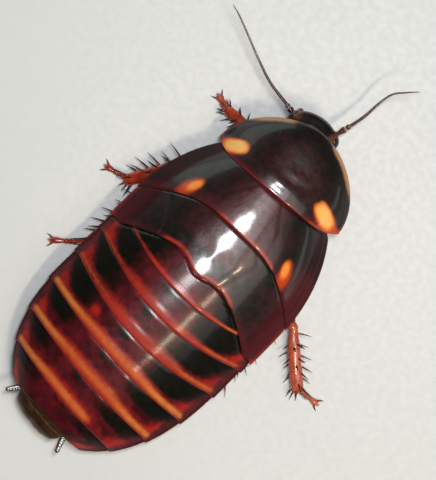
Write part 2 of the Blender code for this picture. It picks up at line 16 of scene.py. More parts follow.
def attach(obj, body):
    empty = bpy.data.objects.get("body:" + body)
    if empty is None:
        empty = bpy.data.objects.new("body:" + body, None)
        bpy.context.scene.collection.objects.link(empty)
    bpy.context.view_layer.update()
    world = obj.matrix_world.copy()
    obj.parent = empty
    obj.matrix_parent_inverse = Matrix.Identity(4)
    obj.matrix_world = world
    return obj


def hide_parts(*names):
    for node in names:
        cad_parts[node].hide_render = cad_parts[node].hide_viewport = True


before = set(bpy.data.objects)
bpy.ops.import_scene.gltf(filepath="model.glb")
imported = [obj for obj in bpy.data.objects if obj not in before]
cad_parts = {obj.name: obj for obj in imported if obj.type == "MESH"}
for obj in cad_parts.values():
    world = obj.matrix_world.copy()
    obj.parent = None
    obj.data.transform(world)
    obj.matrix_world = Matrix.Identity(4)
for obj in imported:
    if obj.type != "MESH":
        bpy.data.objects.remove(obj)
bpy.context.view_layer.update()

MM = 0.001
BODY = "root"

# Driving sizes of the body, as in the part's source
TAIL_END = 15.6
HALF_WIDTH = 10.5
BODY_TOP = 8.6
BEND_RADIUS = 200.0
BEND_Y = -12.0
SHOULDER_Y = -8.5
SHOULDER_REACH = 14.3
HIP_Y = -1.5
HIP_WIDTH = 10.42
HIP_POWER = 2.65
TOP_Y = -6.5
ARCH_POWER = 2.2
FRONT_ROUND = 0.5
REAR_ROUND = 0.55
TAIL_TOP = 3.0
DOME_SHOULDER = 2.3
EDGE_STATIONS = ((-20.0, 3.5), (-6.0, 3.3), (6.0, 3.0), (TAIL_END, 2.4))
BELLY_STATIONS = (
    (-26.0, 3.2), (-20.0, 2.1), (-5.6, 2.1), (-1.8, 0.0), (5.5, 0.0), (10.5, 0.6), (TAIL_END, 2.2),
)
BELLY_POWER = 2.5

PRO_FRONT = -26.25
PRO_WIDE_Y = -19.6
PRO_HIND = -18.2
PRO_HALF_WIDTH = 7.8
PRO_FRONT_TOP = 5.5
PRO_CORNER_TOP = 3.6
PRO_CORNER_ROUND = 1.0
PRO_CORNER_POWER = 8
PRO_OUTLINE_POWER = 1.8
PRO_OUTLINE_ROUND = 0.58
PRO_TURN = 0.03
PRO_TURN_CENTRE = -20.0
PRO_FOLD_Y = -20.1
RIM_RISE = 0.05
MESO_FRONT = -19.3
MESO_HIND = -13.0
MESO_PAD = 3.8
MESO_PAD_START = 0.2
MESO_PAD_POWER = 2.2
META_HIND = -7.75
META_CUSP = 0.7
META_CUSP_WIDTH = 0.15
META_PAD = 3.8
META_PAD_START = 0.25
META_PAD_POWER = 1.5
META_SKEW = -0.3
META_CORNER = -0.8
META_CORNER_START = 0.85
TUCK = 1.0
LIFT_FRONT = -0.24
LIFT_HIND = 0.12
RISE_LENGTH = 0.4
PLATE = 0.14
COVER_DEPTH = 0.24
COVER_REACH = 0.2
# Radius and depth of the round hind edge of a thorax plate, and of an abdomen plate
PLATE_LIP = (0.25, 0.05)
SEGMENT_LIP = (0.25, 0.08)
# The power by which a plate's rows crowd towards its front
ROW_POWER = 1.1
# The back's slope is taken no nearer to the margin than this, over a step to each side
SLOPE_MARGIN = 0.4
PRO_SLOPE_MARGIN = 0.9
SLOPE_STEP = 0.05

ABDOMEN_FRONT = -8.1
SEGMENT_HINDS = (-4.45, -1.4, 1.9, 4.95, 8.35, 11.55, 13.95)
SEGMENT_BOWS = (2.4, 2.1, 1.8, 0.75, 0.4, 0.3, 0.05)
FRONT_BOW = 2.2
LAST_SKEW = 0.38
LAST_CORNER = -0.2
SEGMENT_LAP = 0.85
LAST_SEGMENT = len(SEGMENT_HINDS) - 1


# The camera and the light

def show(obj):
    bpy.context.scene.collection.objects.link(obj)


def aim(place, target, up=(0.0, 0.0, 1.0)):
    """The matrix of a camera or lamp at place that looks at target; both in millimetres."""
    place, target = Vector(place), Vector(target)
    back = (place - target).normalized()
    right = Vector(up).cross(back)
    if right.length < 1e-6:
        right = Vector((1.0, 0.0, 0.0))
    right.normalize()
    turn = Matrix((right, back.cross(right), back)).transposed().to_4x4()
    return Matrix.Translation(place * MM) @ turn


VIEW_CENTRE = (0.78, -11.05, 3.0)
VIEW_UP = (0.689, -0.725, 0.0)
VIEW_DISTANCE = 300.0
VIEW_HEIGHT = 49.03


def make_camera():
    lens = bpy.data.cameras.new("camera")
    lens.sensor_width = 36.0
    lens.lens = lens.sensor_width * VIEW_DISTANCE / VIEW_HEIGHT
    lens.clip_start = 0.01
    lens.clip_end = 10.0
    camera = bpy.data.objects.new("camera", lens)
    place = Vector(VIEW_CENTRE) + Vector((0.0, 0.0, VIEW_DISTANCE))
    camera.matrix_world = aim(place, VIEW_CENTRE, VIEW_UP)
    show(camera)
    bpy.context.scene.camera = camera


# Name, place, point it looks at, width, length, watts, colour
LAMPS = (
    ("flash", (0.0, -44.0, 310.0), (0.0, -12.0, 5.0), 24.0, 76.0, 0.46, (1.0, 1.0, 1.0)),
    ("lamp_strip", (-128.0, 18.0, 290.0), (-3.0, -3.0, 6.0), 20.0, 110.0, 0.34, (1.0, 0.84, 0.58)),
    ("soft_top", (-30.0, -60.0, 330.0), (-2.0, -12.0, 5.0), 110.0, 90.0, 0.13, (1.0, 0.93, 0.94)),
    ("soft_right", (-195.0, -32.0, 270.0), (-4.0, -10.0, 5.0), 190.0, 155.0, 0.2, (1.0, 0.95, 0.93)),
    ("wall_left", (150.0, -120.0, 34.0), (0.0, -120.0, 34.0), 56.0, 160.0, 0.045, (0.90, 1.0, 0.96)),
    ("wall_right", (-150.0, -78.0, 26.0), (0.0, -78.0, 26.0), 12.0, 100.0, 0.008, (1.0, 0.95, 1.0)),
)


def make_lamps():
    for name, place, target, width, length, watts, colour in LAMPS:
        lamp = bpy.data.lights.new(name, "AREA")
        lamp.shape = "RECTANGLE"
        lamp.size = width * MM
        lamp.size_y = length * MM
        lamp.energy = watts
        lamp.color = colour
        holder = bpy.data.objects.new(name, lamp)
        holder.matrix_world = aim(place, target, (0.0, 1.0, 0.0))
        show(holder)
    world = bpy.data.worlds.new("studio")
    world.use_nodes = True
    sky = world.node_tree.nodes["Background"]
    sky.inputs["Color"].default_value = (0.80, 0.84, 0.84, 1.0)
    sky.inputs["Strength"].default_value = 0.08
    bpy.context.scene.world = world
    bpy.context.scene.view_settings.view_transform = "Standard"


# Materials

# What is left of the coat and the shine where a piece is dull, and the noise of its roughness
DULL_COAT = 0.12
DULL_SHINE = 0.3
GLOSS_NOISE = (0.7, 4.0)
# The values of a noise between which it turns from one base colour or roughness to the other
NOISE_TURN = (0.3, 0.7)


class Nodes:
    """A short way to write one material's node tree."""

    def __init__(self, name):
        self.material = bpy.data.materials.new(name)
        self.material.use_nodes = True
        self.tree = self.material.node_tree
        self.shader = self.tree.nodes["Principled BSDF"]
        self.place = self.add("ShaderNodeTexCoord").outputs["Object"]

    def add(self, kind, **settings):
        node = self.tree.nodes.new(kind)
        for key, value in settings.items():
            setattr(node, key, value)
        return node

    def link(self, source, target):
        if isinstance(source, bpy.types.NodeSocket):
            self.tree.links.new(source, target)
        else:
            target.default_value = source

    def attribute(self, name):
        return self.add("ShaderNodeAttribute", attribute_name=name).outputs["Fac"]

    def noise(self, size, detail=3.0, stretch=None, distortion=0.0):
        """Noise whose lumps are about size millimetres across."""
        node = self.add("ShaderNodeTexNoise")
        node.inputs["Scale"].default_value = 1.0 / (size * MM)
        node.inputs["Detail"].default_value = detail
        node.inputs["Distortion"].default_value = distortion
        place = self.place
        if stretch:
            place = self.stretched(stretch)
        self.link(place, node.inputs["Vector"])
        return node.outputs["Fac"]

    def stretched(self, scale):
        mapping = self.add("ShaderNodeMapping")
        mapping.inputs["Scale"].default_value = scale
        self.link(self.place, mapping.inputs["Vector"])
        return mapping.outputs["Vector"]

    def pits(self, size, randomness=1.0):
        """Distance to the nearest of many small pits size millimetres apart."""
        node = self.add("ShaderNodeTexVoronoi")
        node.inputs["Scale"].default_value = 1.0 / (size * MM)
        node.inputs["Randomness"].default_value = randomness
        self.link(self.place, node.inputs["Vector"])
        return node.outputs["Distance"]

    def math(self, operation, first, second, clamp=False):
        node = self.add("ShaderNodeMath", operation=operation, use_clamp=clamp)
        self.link(first, node.inputs[0])
        self.link(second, node.inputs[1])
        return node.outputs[0]

    def span(self, value, low, high, to_low=0.0, to_high=1.0, kind="SMOOTHSTEP"):
        node = self.add("ShaderNodeMapRange", interpolation_type=kind)
        self.link(value, node.inputs["Value"])
        for socket, number in zip(("From Min", "From Max", "To Min", "To Max"), (low, high, to_low, to_high)):
            node.inputs[socket].default_value = number
        return node.outputs["Result"]

    def mix(self, share, first, second):
        node = self.add("ShaderNodeMix", data_type="RGBA")
        for index, source in ((0, share), (6, first), (7, second)):
            if isinstance(source, tuple):
                source = (*source, 1.0)
            self.link(source, node.inputs[index])
        return node.outputs[2]

    def bump(self, height, strength, depth, normal=None):
        """A bump of depth millimetres."""
        node = self.add("ShaderNodeBump")
        node.inputs["Strength"].default_value = strength
        node.inputs["Distance"].default_value = depth * MM
        self.link(height, node.inputs["Height"])
        if normal:
            self.link(normal, node.inputs["Normal"])
        return node.outputs["Normal"]

    def layer(self, colour, mask_name, patch, ragged=0.3, size=0.5, low=0.3, high=0.7, share=1.0):
        """Lays a patch of colour where the mask is, with a ragged, soft edge."""
        speckle = self.math("MULTIPLY", self.math("SUBTRACT", self.noise(size), 0.5), ragged)
        mask = self.span(self.math("ADD", self.attribute(mask_name), speckle), low, high, 0.0, share)
        return self.mix(mask, colour, patch)

    def gloss(self, roughness, coat=0.0, coat_roughness=0.05, specular=0.5, dull=None):
        """Sets the shine. Where the mask named dull is 1 the piece shines least."""
        coat_socket = self.shader.inputs["Coat Weight"]
        specular_socket = self.shader.inputs["Specular IOR Level"]
        coat_socket.default_value = coat
        specular_socket.default_value = specular
        if dull:
            mask = self.attribute(dull)
            self.link(self.span(mask, 0.0, 1.0, coat, coat * DULL_COAT), coat_socket)
            self.link(self.span(mask, 0.0, 1.0, specular, specular * DULL_SHINE), specular_socket)
        self.shader.inputs["Coat Roughness"].default_value = coat_roughness
        rough = self.span(self.noise(*GLOSS_NOISE), *NOISE_TURN, *roughness)
        self.link(rough, self.shader.inputs["Roughness"])

    def finish(self, colour, normal):
        self.link(colour, self.shader.inputs["Base Color"])
        self.link(normal, self.shader.inputs["Normal"])
        return self.material


def plate_material():
    """The three thorax plates: glossy black-maroon, tan rim, red hind edge, orange spots."""
    n = Nodes("plate_shell")
    colour = n.mix(n.span(n.noise(2.4, 3.0), 0.35, 0.7), (0.0050, 0.0038, 0.0026), (0.0130, 0.0060, 0.0050))
    colour = n.layer(colour, "maroon", (0.070, 0.0085, 0.0125), 0.6, 1.6, 0.1, 1.0)
    colour = n.layer(colour, "red", (0.30, 0.022, 0.014), 0.4, 0.4, 0.2, 0.9)
    colour = n.layer(colour, "tan", (0.46, 0.23, 0.115), 0.25, 0.4, 0.15, 0.9)
    colour = n.layer(colour, "glow", (0.50, 0.050, 0.007), 0.2, 0.7, 0.05, 0.95)
    colour = n.layer(colour, "spot", (0.80, 0.19, 0.018), 0.25, 0.6, 0.08, 0.6)
    colour = n.layer(colour, "spot", (0.93, 0.50, 0.125), 0.3, 0.6, 0.42, 1.05)
    colour = n.layer(colour, "under", (0.070, 0.0150, 0.0090), 0.3, 0.6, 0.3, 0.7)
    wrinkles = n.bump(n.noise(1.1, 5.0, distortion=0.4), 0.55, 0.06)
    wrinkles = n.bump(n.noise(0.45, 4.0, stretch=(0.6, 1.4, 1.0)), 0.35, 0.025, wrinkles)
    lines = n.bump(n.noise(0.16, 3.0, stretch=(0.3, 1.0, 1.0)), 0.2, 0.02, wrinkles)
    n.gloss((0.3, 0.42), 0.38, 0.1, 0.32, "dull")
    return n.finish(colour, n.bump(n.pits(0.2), 0.08, 0.01, lines))


def abdomen_material():
    """The abdomen: dark red, black side patches, bright red corners, orange hind bands."""
    n = Nodes("abdomen_shell")
    colour = n.mix(n.span(n.noise(1.6, 4.0), 0.3, 0.72), (0.036, 0.0028, 0.0045), (0.105, 0.0065, 0.0120))
    colour = n.layer(colour, "belly", (0.17, 0.030, 0.011), 0.3, 0.6, 0.3, 0.7)
    colour = n.layer(colour, "red", (0.36, 0.0150, 0.0100), 0.9, 0.8, 0.1, 1.05)
    colour = n.layer(colour, "black", (0.0034, 0.0032, 0.0014), 0.8, 1.0, 0.1, 0.9)
    halo_share = n.span(n.noise(0.7, 4.0), 0.35, 0.75, 0.0, 0.6)
    halo = n.mix(halo_share, (0.36, 0.026, 0.014), (0.26, 0.0150, 0.0100))
    speckle = n.math("MULTIPLY", n.math("SUBTRACT", n.noise(0.5, 3.0), 0.5), 0.4)
    shown = n.span(n.math("ADD", n.attribute("band"), speckle), 0.1, 0.9)
    colour = n.mix(shown, colour, halo)
    amber = n.mix(n.attribute("amber"), (0.54, 0.095, 0.020), (0.56, 0.195, 0.042))
    amber = n.mix(n.span(n.noise(0.9, 3.0), 0.4, 0.75, 0.0, 0.5), amber, (0.44, 0.085, 0.022))
    core = n.span(n.math("ADD", n.attribute("core"), speckle), 0.12, 1.0)
    colour = n.mix(core, colour, amber)
    colour = n.layer(colour, "edge", (0.060, 0.0050, 0.0080), 0.6, 0.9, 0.1, 1.0)
    colour = n.layer(colour, "rear", (0.030, 0.0100, 0.0050), 0.3, 0.5, 0.2, 0.8)
    lines = n.bump(n.noise(0.22, 3.0, stretch=(1.0, 0.22, 1.0)), 0.25, 0.03)
    lumps = n.bump(n.noise(1.2, 5.0, distortion=0.5), 0.4, 0.06, lines)
    n.gloss((0.3, 0.42), 0.22, 0.14, 0.16, "edge")
    return n.finish(colour, n.bump(n.pits(0.2), 0.08, 0.01, lumps))


def eye_material():
    """A compound eye: black-brown, with a fine net of facets."""
    n = Nodes("compound_eye")
    facets = n.pits(0.05, 0.2)
    colour = n.mix(n.span(facets, 0.25, 0.6), (0.016, 0.011, 0.009), (0.002, 0.002, 0.002))
    colour = n.mix(n.span(n.noise(0.7), 0.4, 0.7), colour, (0.026, 0.012, 0.008))
    n.gloss((0.16, 0.26), 0.4)
    return n.finish(colour, n.bump(n.span(facets, 0.6, 0.0), 0.25, 0.01))


# The plainer materials: name, size and detail of the noise between two colours, the colours, layers
# as in Nodes.layer, the bump's noise, strength and depth, pits over it, and the gloss
SHELLS = {
    "head": (
        "head_shell", (1.2, 4.0), (0.0050, 0.0036, 0.0034), (0.014, 0.0075, 0.0060),
        (("brown", (0.115, 0.036, 0.015), 0.4, 0.5, 0.2, 0.9),
         ("pale", (0.46, 0.27, 0.13), 0.3, 0.25, 0.3, 0.8),
         ("dark", (0.010, 0.0050, 0.0040), 0.3, 0.3, 0.2, 0.8)),
        ((0.5, 5.0), 0.3, 0.04), (0.14, 0.15, 0.02), ((0.2, 0.36), 0.35),
    ),
    "leg": (
        "leg_shell", (0.8, 4.0), (0.22, 0.0150, 0.0065), (0.43, 0.040, 0.0110),
        (("pale", (0.58, 0.17, 0.085), 0.4, 0.4, 0.2, 0.8),
         ("dark", (0.022, 0.0055, 0.0045), 0.3, 0.3, 0.25, 0.75)),
        ((0.35, 5.0), 0.35, 0.03), (0.13, 0.15, 0.02), ((0.16, 0.3), 0.5),
    ),
    "claw": (
        "claw_horn", (0.3, 3.0), (0.16, 0.026, 0.010), (0.24, 0.045, 0.018),
        (("dark", (0.012, 0.0040, 0.0030), 0.2, 0.2, 0.2, 0.8),),
        ((0.12, 3.0, (1.0, 0.3, 1.0)), 0.3, 0.02), None, ((0.12, 0.22), 0.5),
    ),
    "feeler": (
        "feeler_skin", (0.3, 4.0), (0.055, 0.020, 0.016), (0.100, 0.042, 0.034),
        (("grey", (0.13, 0.085, 0.06), 0.3, 0.6, 0.2, 0.8),
         ("dark", (0.018, 0.006, 0.005), 0.2, 0.3, 0.3, 0.7),
         ("pale", (0.42, 0.30, 0.24), 0.2, 0.3, 0.3, 0.7)),
        ((0.06, 3.0), 0.3, 0.012), None, ((0.18, 0.32), 0.4, 0.08),
    ),
    "tail": (
        "tail_shell", (0.8, 4.0), (0.022, 0.0105, 0.0045), (0.062, 0.0240, 0.0090),
        (("red", (0.085, 0.0130, 0.0070), 0.5, 0.4, 0.2, 0.9),
         ("dark", (0.012, 0.007, 0.004), 0.4, 0.4, 0.2, 0.8),
         ("band", (0.15, 0.060, 0.018), 0.5, 0.4, 0.2, 0.9)),
        ((0.4, 5.0), 0.4, 0.04), (0.13, 0.2, 0.02), ((0.28, 0.42), 0.18, 0.1, 0.3),
    ),
    "cercus": (
        "cercus_shell", (0.3, 3.0), (0.016, 0.0085, 0.0060), (0.045, 0.020, 0.013),
        (("band", (0.20, 0.12, 0.08), 0.3, 0.2, 0.3, 0.8),
         ("dark", (0.008, 0.005, 0.004), 0.2, 0.2, 0.2, 0.8)),
        ((0.1, 3.0), 0.15, 0.01), None, ((0.14, 0.24), 1.0, 0.22),
    ),
    "belly": (
        "belly_skin", (1.2, 5.0), (0.11, 0.017, 0.009), (0.24, 0.045, 0.018),
        (("pale", (0.38, 0.17, 0.085), 0.4, 0.6, 0.2, 0.8),
         ("dark", (0.045, 0.0100, 0.0060), 0.4, 0.5, 0.2, 0.8)),
        ((0.5, 5.0, None, 0.6), 0.6, 0.08), None, ((0.3, 0.5), 0.1),
    ),
    "floor": (
        "floor_paint", (45.0, 3.0), (0.585, 0.615, 0.630), (0.615, 0.645, 0.660),
        (), ((2.5, 4.0), 0.03, 0.03), None, ((0.42, 0.5),),
    ),
}


def shell_material(name, base_noise, first, second, layers, bump, pits, gloss):
    n = Nodes(name)
    colour = n.mix(n.span(n.noise(*base_noise), *NOISE_TURN), first, second)
    for layer in layers:
        colour = n.layer(colour, *layer)
    bump_noise, strength, depth = bump
    normal = n.bump(n.noise(*bump_noise), strength, depth)
    if pits:
        normal = n.bump(n.pits(pits[0]), pits[1], pits[2], normal)
    n.gloss(*gloss)
    return n.finish(colour, normal)


# Shape of the body: numpy forms of the source's formulas

def row_shares(rings):
    """A column that runs from 0 at the first ring to 1 at the last."""
    return np.linspace(0.0, 1.0, len(rings))[:, None]


def smooth(t):
    t = np.clip(t, 0.0, 1.0)
    return t * t * (3.0 - 2.0 * t)


def bell(value, centre, width):
    """1 at centre, easing to 0 on both sides of it."""
    return np.exp(-(((value - centre) / width) ** 2))


def hill(first, second, centre, first_width, second_width):
    """A bell in two directions at once."""
    return np.exp(-(((first - centre[0]) / first_width) ** 2) - ((second - centre[1]) / second_width) ** 2)


def circle(count):
    """Angles of count points round a ring."""
    return np.linspace(0.0, 2.0 * math.pi, count, endpoint=False)


def squared(angle, power):
    """Across and up on a ring that is rounder or squarer than a circle."""
    cosine, sine = np.cos(angle), np.sin(angle)
    return np.sign(cosine) * np.abs(cosine) ** power, np.sign(sine) * np.abs(sine) ** power


def along(y, stations):
    """A height that eases from each (y, height) station to the next."""
    y = np.asarray(y, dtype=float)
    result = np.full(y.shape, stations[0][1])
    for (y0, z0), (y1, z1) in zip(stations, stations[1:]):
        result = np.where(y > y0, z0 + (z1 - z0) * smooth((y - y0) / (y1 - y0)), result)
    return result


def bent(points):
    """Where the points of the straight body lie once the body curves to its left."""
    turn = (points[..., 1] - BEND_Y) / BEND_RADIUS
    reach = BEND_RADIUS - points[..., 0]
    x, y = BEND_RADIUS - reach * np.cos(turn), BEND_Y + reach * np.sin(turn)
    return np.stack((x, y, points[..., 2]), axis=-1)


def half_width(y):
    y = np.asarray(y, dtype=float)
    ahead = np.clip((SHOULDER_Y - y) / SHOULDER_REACH, 0.0, 1.0)
    behind = np.clip((y - HIP_Y) / (TAIL_END - HIP_Y), 0.0, 1.0)
    middle = HALF_WIDTH + (HIP_WIDTH - HALF_WIDTH) * smooth((y - SHOULDER_Y) / (HIP_Y - SHOULDER_Y))
    front = HALF_WIDTH * np.sqrt(1.0 - ahead**2)
    hind = HIP_WIDTH * np.sqrt(1.0 - behind**HIP_POWER)
    return np.where(y < SHOULDER_Y, front, np.where(y < HIP_Y, middle, hind))


def mid_height(y):
    y = np.asarray(y, dtype=float)
    ahead = np.clip((TOP_Y - y) / (TOP_Y - PRO_FRONT), 0.0, 1.0)
    behind = np.clip((y - TOP_Y) / (TAIL_END - TOP_Y), 0.0, 1.0)
    front = PRO_FRONT_TOP + (BODY_TOP - PRO_FRONT_TOP) * (1.0 - ahead**ARCH_POWER) ** FRONT_ROUND
    hind = TAIL_TOP + (BODY_TOP - TAIL_TOP) * (1.0 - behind**ARCH_POWER) ** REAR_ROUND
    return np.where(y < TOP_Y, front, hind)


def domed(edge, middle, u):
    return edge + (middle - edge) * (1.0 - np.minimum(1.0, np.abs(u)) ** DOME_SHOULDER)


def back_height(x, y):
    return domed(along(y, EDGE_STATIONS), mid_height(y), x / np.maximum(half_width(y), 0.1))


def pronotum_height(x, y):
    t = np.clip((PRO_WIDE_Y - y) / (PRO_WIDE_Y - PRO_FRONT), 0.0, 1.0)
    width = PRO_HALF_WIDTH * (1.0 - t**PRO_OUTLINE_POWER) ** PRO_OUTLINE_ROUND
    edge = PRO_CORNER_TOP + (PRO_FRONT_TOP - PRO_CORNER_TOP) * t**1.5
    return domed(edge, mid_height(y), x / np.maximum(width, 0.1))


def surface_point(height, limit, x, y, lift):
    """The points of a back surface over (x, y), moved by lift along the surface's normals."""
    step = SLOPE_STEP
    inner = np.clip(x, -limit, limit)
    inner_y = np.maximum(y, PRO_FRONT + 0.15)
    slope_x = (height(inner + step, inner_y) - height(inner - step, inner_y)) / (2.0 * step)
    slope_y = (height(inner, inner_y + step) - height(inner, inner_y - step)) / (2.0 * step)
    length = np.sqrt(slope_x**2 + slope_y**2 + 1.0)
    out = lift / length
    return np.stack((x - slope_x / length * lift, y - slope_y / length * lift, height(x, y) + out), axis=-1)


def lift_at(shown, length):
    """How far a plate stands off the back, shown behind the edge of the plate before it."""
    rise = LIFT_FRONT * (1.0 - smooth((shown + RISE_LENGTH) / (2.0 * RISE_LENGTH)))
    return rise + LIFT_HIND * smooth(shown / length)


def lip(distance, radius, depth):
    """How far a plate rounds down at distance from its hind edge."""
    t = np.clip(1.0 - distance / radius, 0.0, 1.0)
    return -depth * (1.0 - np.sqrt(np.maximum(0.0, 1.0 - t * t)))


def pronotum_hind(u):
    return PRO_HIND - 0.25 * u * u - PRO_CORNER_ROUND * u**PRO_CORNER_POWER


def pronotum_front(u):
    arch = (1.0 - np.abs(u) ** (1.0 / PRO_OUTLINE_ROUND)) ** (1.0 / PRO_OUTLINE_POWER)
    return PRO_WIDE_Y - (PRO_WIDE_Y - PRO_FRONT) * arch


def pad_share(u, start, power):
    """How far a wing pad's hind edge has swept back at u, from 0 to 1 at the side."""
    return np.clip((np.abs(u) - start) / (1.0 - start), 0.0, 1.0) ** power


def meso_hind(u):
    return MESO_HIND + MESO_PAD * pad_share(u, MESO_PAD_START, MESO_PAD_POWER)


def meta_hind(u):
    cusp = META_CUSP * bell(u, 0.0, META_CUSP_WIDTH)
    corner = META_CORNER * smooth((np.abs(u) - META_CORNER_START) / (1.0 - META_CORNER_START))
    return META_HIND + cusp + META_PAD * pad_share(u, META_PAD_START, META_PAD_POWER) + META_SKEW * u + corner


def metanotum_lift(u, y):
    before = meso_hind(u)
    return lift_at(y - before, meta_hind(u) - before)


# Meshes

def array_mesh(name, points, faces, material, attributes):
    """A smooth-shaded object of the body from points in millimetres."""
    mesh = bpy.data.meshes.new(name)
    points = np.asarray(points).reshape(-1, 3)
    points = np.column_stack((points[:, :2], np.maximum(0.0, points[:, 2])))
    mesh.from_pydata((points * MM).tolist(), [], faces)
    for key, values in attributes.items():
        layer = mesh.attributes.new(key, "FLOAT", "POINT")
        layer.data.foreach_set("value", np.asarray(values, dtype=np.float32).ravel())
    mesh.shade_smooth()
    mesh.materials.append(material)
    obj = bpy.data.objects.new(name, mesh)
    show(obj)
    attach(obj, BODY)
    return obj


def grid_faces(rows, columns, wrap=False, start=0):
    """Quads between the points of a grid, row by row; wrap closes each row into a ring."""
    faces = []
    for i in range(rows - 1):
        for j in range(columns if wrap else columns - 1):
            k = (j + 1) % columns
            first, second = start + i * columns, start + (i + 1) * columns
            faces.append((first + j, first + k, second + k, second + j))
    return faces


def cap_faces(rows, around, start=0):
    """Triangles that close the first and last ring to the two points that follow the rings."""
    faces = []
    for row, middle in ((0, start + rows * around), (rows - 1, start + rows * around + 1)):
        for k in range(around):
            corner = (start + row * around + k, start + row * around + (k + 1) % around)
            faces.append((*corner, middle) if row else (*corner[::-1], middle))
    return faces


def outline_distance(x, y, outline):
    """Distance of each point to the nearest point of an outline."""
    result = np.full(x.shape, 1e9)
    for px, py in outline:
        result = np.minimum(result, (x - px) ** 2 + (y - py) ** 2)
    return np.sqrt(result)


def blob(x, y, centre, half_length, half_across, angle, power, soft):
    """1 inside a slanted rounded patch, 0.5 on its outline and 0 outside."""
    turn = math.radians(angle)
    dx, dy = x - centre[0], y - centre[1]
    a = np.abs(dx * math.cos(turn) + dy * math.sin(turn)) / half_length
    b = np.abs(-dx * math.sin(turn) + dy * math.cos(turn)) / half_across
    reach = (a**power + b**power) ** (1.0 / power)
    return smooth((1.0 + soft - reach) / (2.0 * soft))


def rim_faces(rows, columns):
    """Quads that join the border of a grid to that of the same grid below it."""
    corner = rows * columns
    front = [(j, j + 1) for j in range(columns - 1)]
    hind = [(corner - columns + j + 1, corner - columns + j) for j in range(columns - 1)]
    left = [(i * columns + columns - 1, (i + 2) * columns - 1) for i in range(rows - 1)]
    right = [((i + 1) * columns, i * columns) for i in range(rows - 1)]
    return [(b, a, a + corner, b + corner) for a, b in front + hind + left + right]


PLATE_COLUMNS = 150
PLATE_ROWS = 64


def plate_sheet(node, place, marks):
    """One thorax plate. place gives points for u in -1..1, v in 0..1, and marks its attributes."""
    columns, rows = PLATE_COLUMNS, PLATE_ROWS
    u, v = np.meshgrid(np.sin(np.linspace(-1.0, 1.0, columns) * math.pi / 2.0), np.linspace(0.0, 1.0, rows))
    x, y, upper = place(u, v, 0.0)
    lower = place(u, v, PLATE)[2]
    over = grid_faces(rows, columns)
    under = [face[::-1] for face in grid_faces(rows, columns, start=rows * columns)]
    attributes = {key: np.stack((values, values)) for key, values in marks(u, x, y).items()}
    attributes["under"] = np.stack((np.zeros(u.shape), np.ones(u.shape)))
    attributes["dull"] = np.maximum(attributes["dull"], 0.8 * attributes["under"])
    obj = array_mesh(f"{node}_plate", bent(np.stack((upper, lower))), over + under + rim_faces(rows, columns),
                     MATERIALS["plate"], attributes)
    fine = obj.modifiers.new("fine", "SUBSURF")
    fine.levels = 1
    fine.render_levels = 1
    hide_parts(node)


def dip(x, y, centre, half_across, half_along, depth):
    """A shallow flat place, which widens the highlight that falls on it."""
    return depth * hill(x, y, centre, half_across, half_along)


def pronotum_place(u, v, sunk):
    x = PRO_HALF_WIDTH * u
    front = pronotum_front(u)
    y = front + (pronotum_hind(u) - front) * v
    back = pronotum_hind(u) - y
    lift = LIFT_HIND * smooth((v - 0.5) / 0.5) + lip(back, *PLATE_LIP)
    lift = lift + RIM_RISE * bell(outline_distance(x, y, pronotum_outline()), 0.25, 0.18)
    lift = lift + 0.13 * hill(back, x, (1.25, 0.0), 0.85, 3.4)
    fold = y - PRO_FOLD_Y + 0.18 * (x + 0.4) ** 2
    lift = lift - 0.035 * hill(fold, x, (0.0, -0.9), 0.4, 1.6)
    lift = lift - dip(x, y, (-0.1, PRO_HIND - 0.6), 1.5, 0.55, 0.07)
    lift = lift - dip(x, y + 0.05 * x * x, (-0.7, -21.05), 1.25, 0.5, -0.05)
    points = surface_point(pronotum_height, PRO_HALF_WIDTH - PRO_SLOPE_MARGIN, x, y, lift - sunk)
    return x, y, turned_pronotum(points)


def turned_pronotum(points):
    """The shield sits turned a little to the animal's right."""
    x, y, z = points[..., 0], points[..., 1], points[..., 2]
    return np.stack((x - PRO_TURN * (y - PRO_TURN_CENTRE), y + PRO_TURN * x, z), axis=-1)


def pronotum_outline():
    """Points along the front and side margin."""
    u = np.sin(np.linspace(-1.0, 1.0, 240) * math.pi / 2.0)
    return list(zip(PRO_HALF_WIDTH * u, pronotum_front(u)))


# Orange spots: centre, half length, half width and slant, for the straight body
PRONOTUM_SPOTS = (((5.85, -19.6), 1.2, 0.7, 30.0), ((-5.5, -19.8), 1.34, 0.74, -25.0))
MESONOTUM_SPOTS = (((6.2, -13.5), 0.95, 0.42, 68.0), ((-6.2, -13.45), 0.95, 0.42, -68.0))


def spot_masks(x, y, spots, outward, spot_form, swell, glow_form):
    """The spots, and the glow round them, which lies a little outward and is larger by swell."""
    spot, glow = np.zeros(x.shape), np.zeros(x.shape)
    for centre, half_length, width, slant in spots:
        spot = np.maximum(spot, blob(x, y, centre, half_length, width, slant, *spot_form))
        out = (centre[0] * outward[0], centre[1] + outward[1])
        glow = np.maximum(glow, blob(x, y, out, half_length * swell[0], width * swell[1], slant, *glow_form))
    return spot, glow


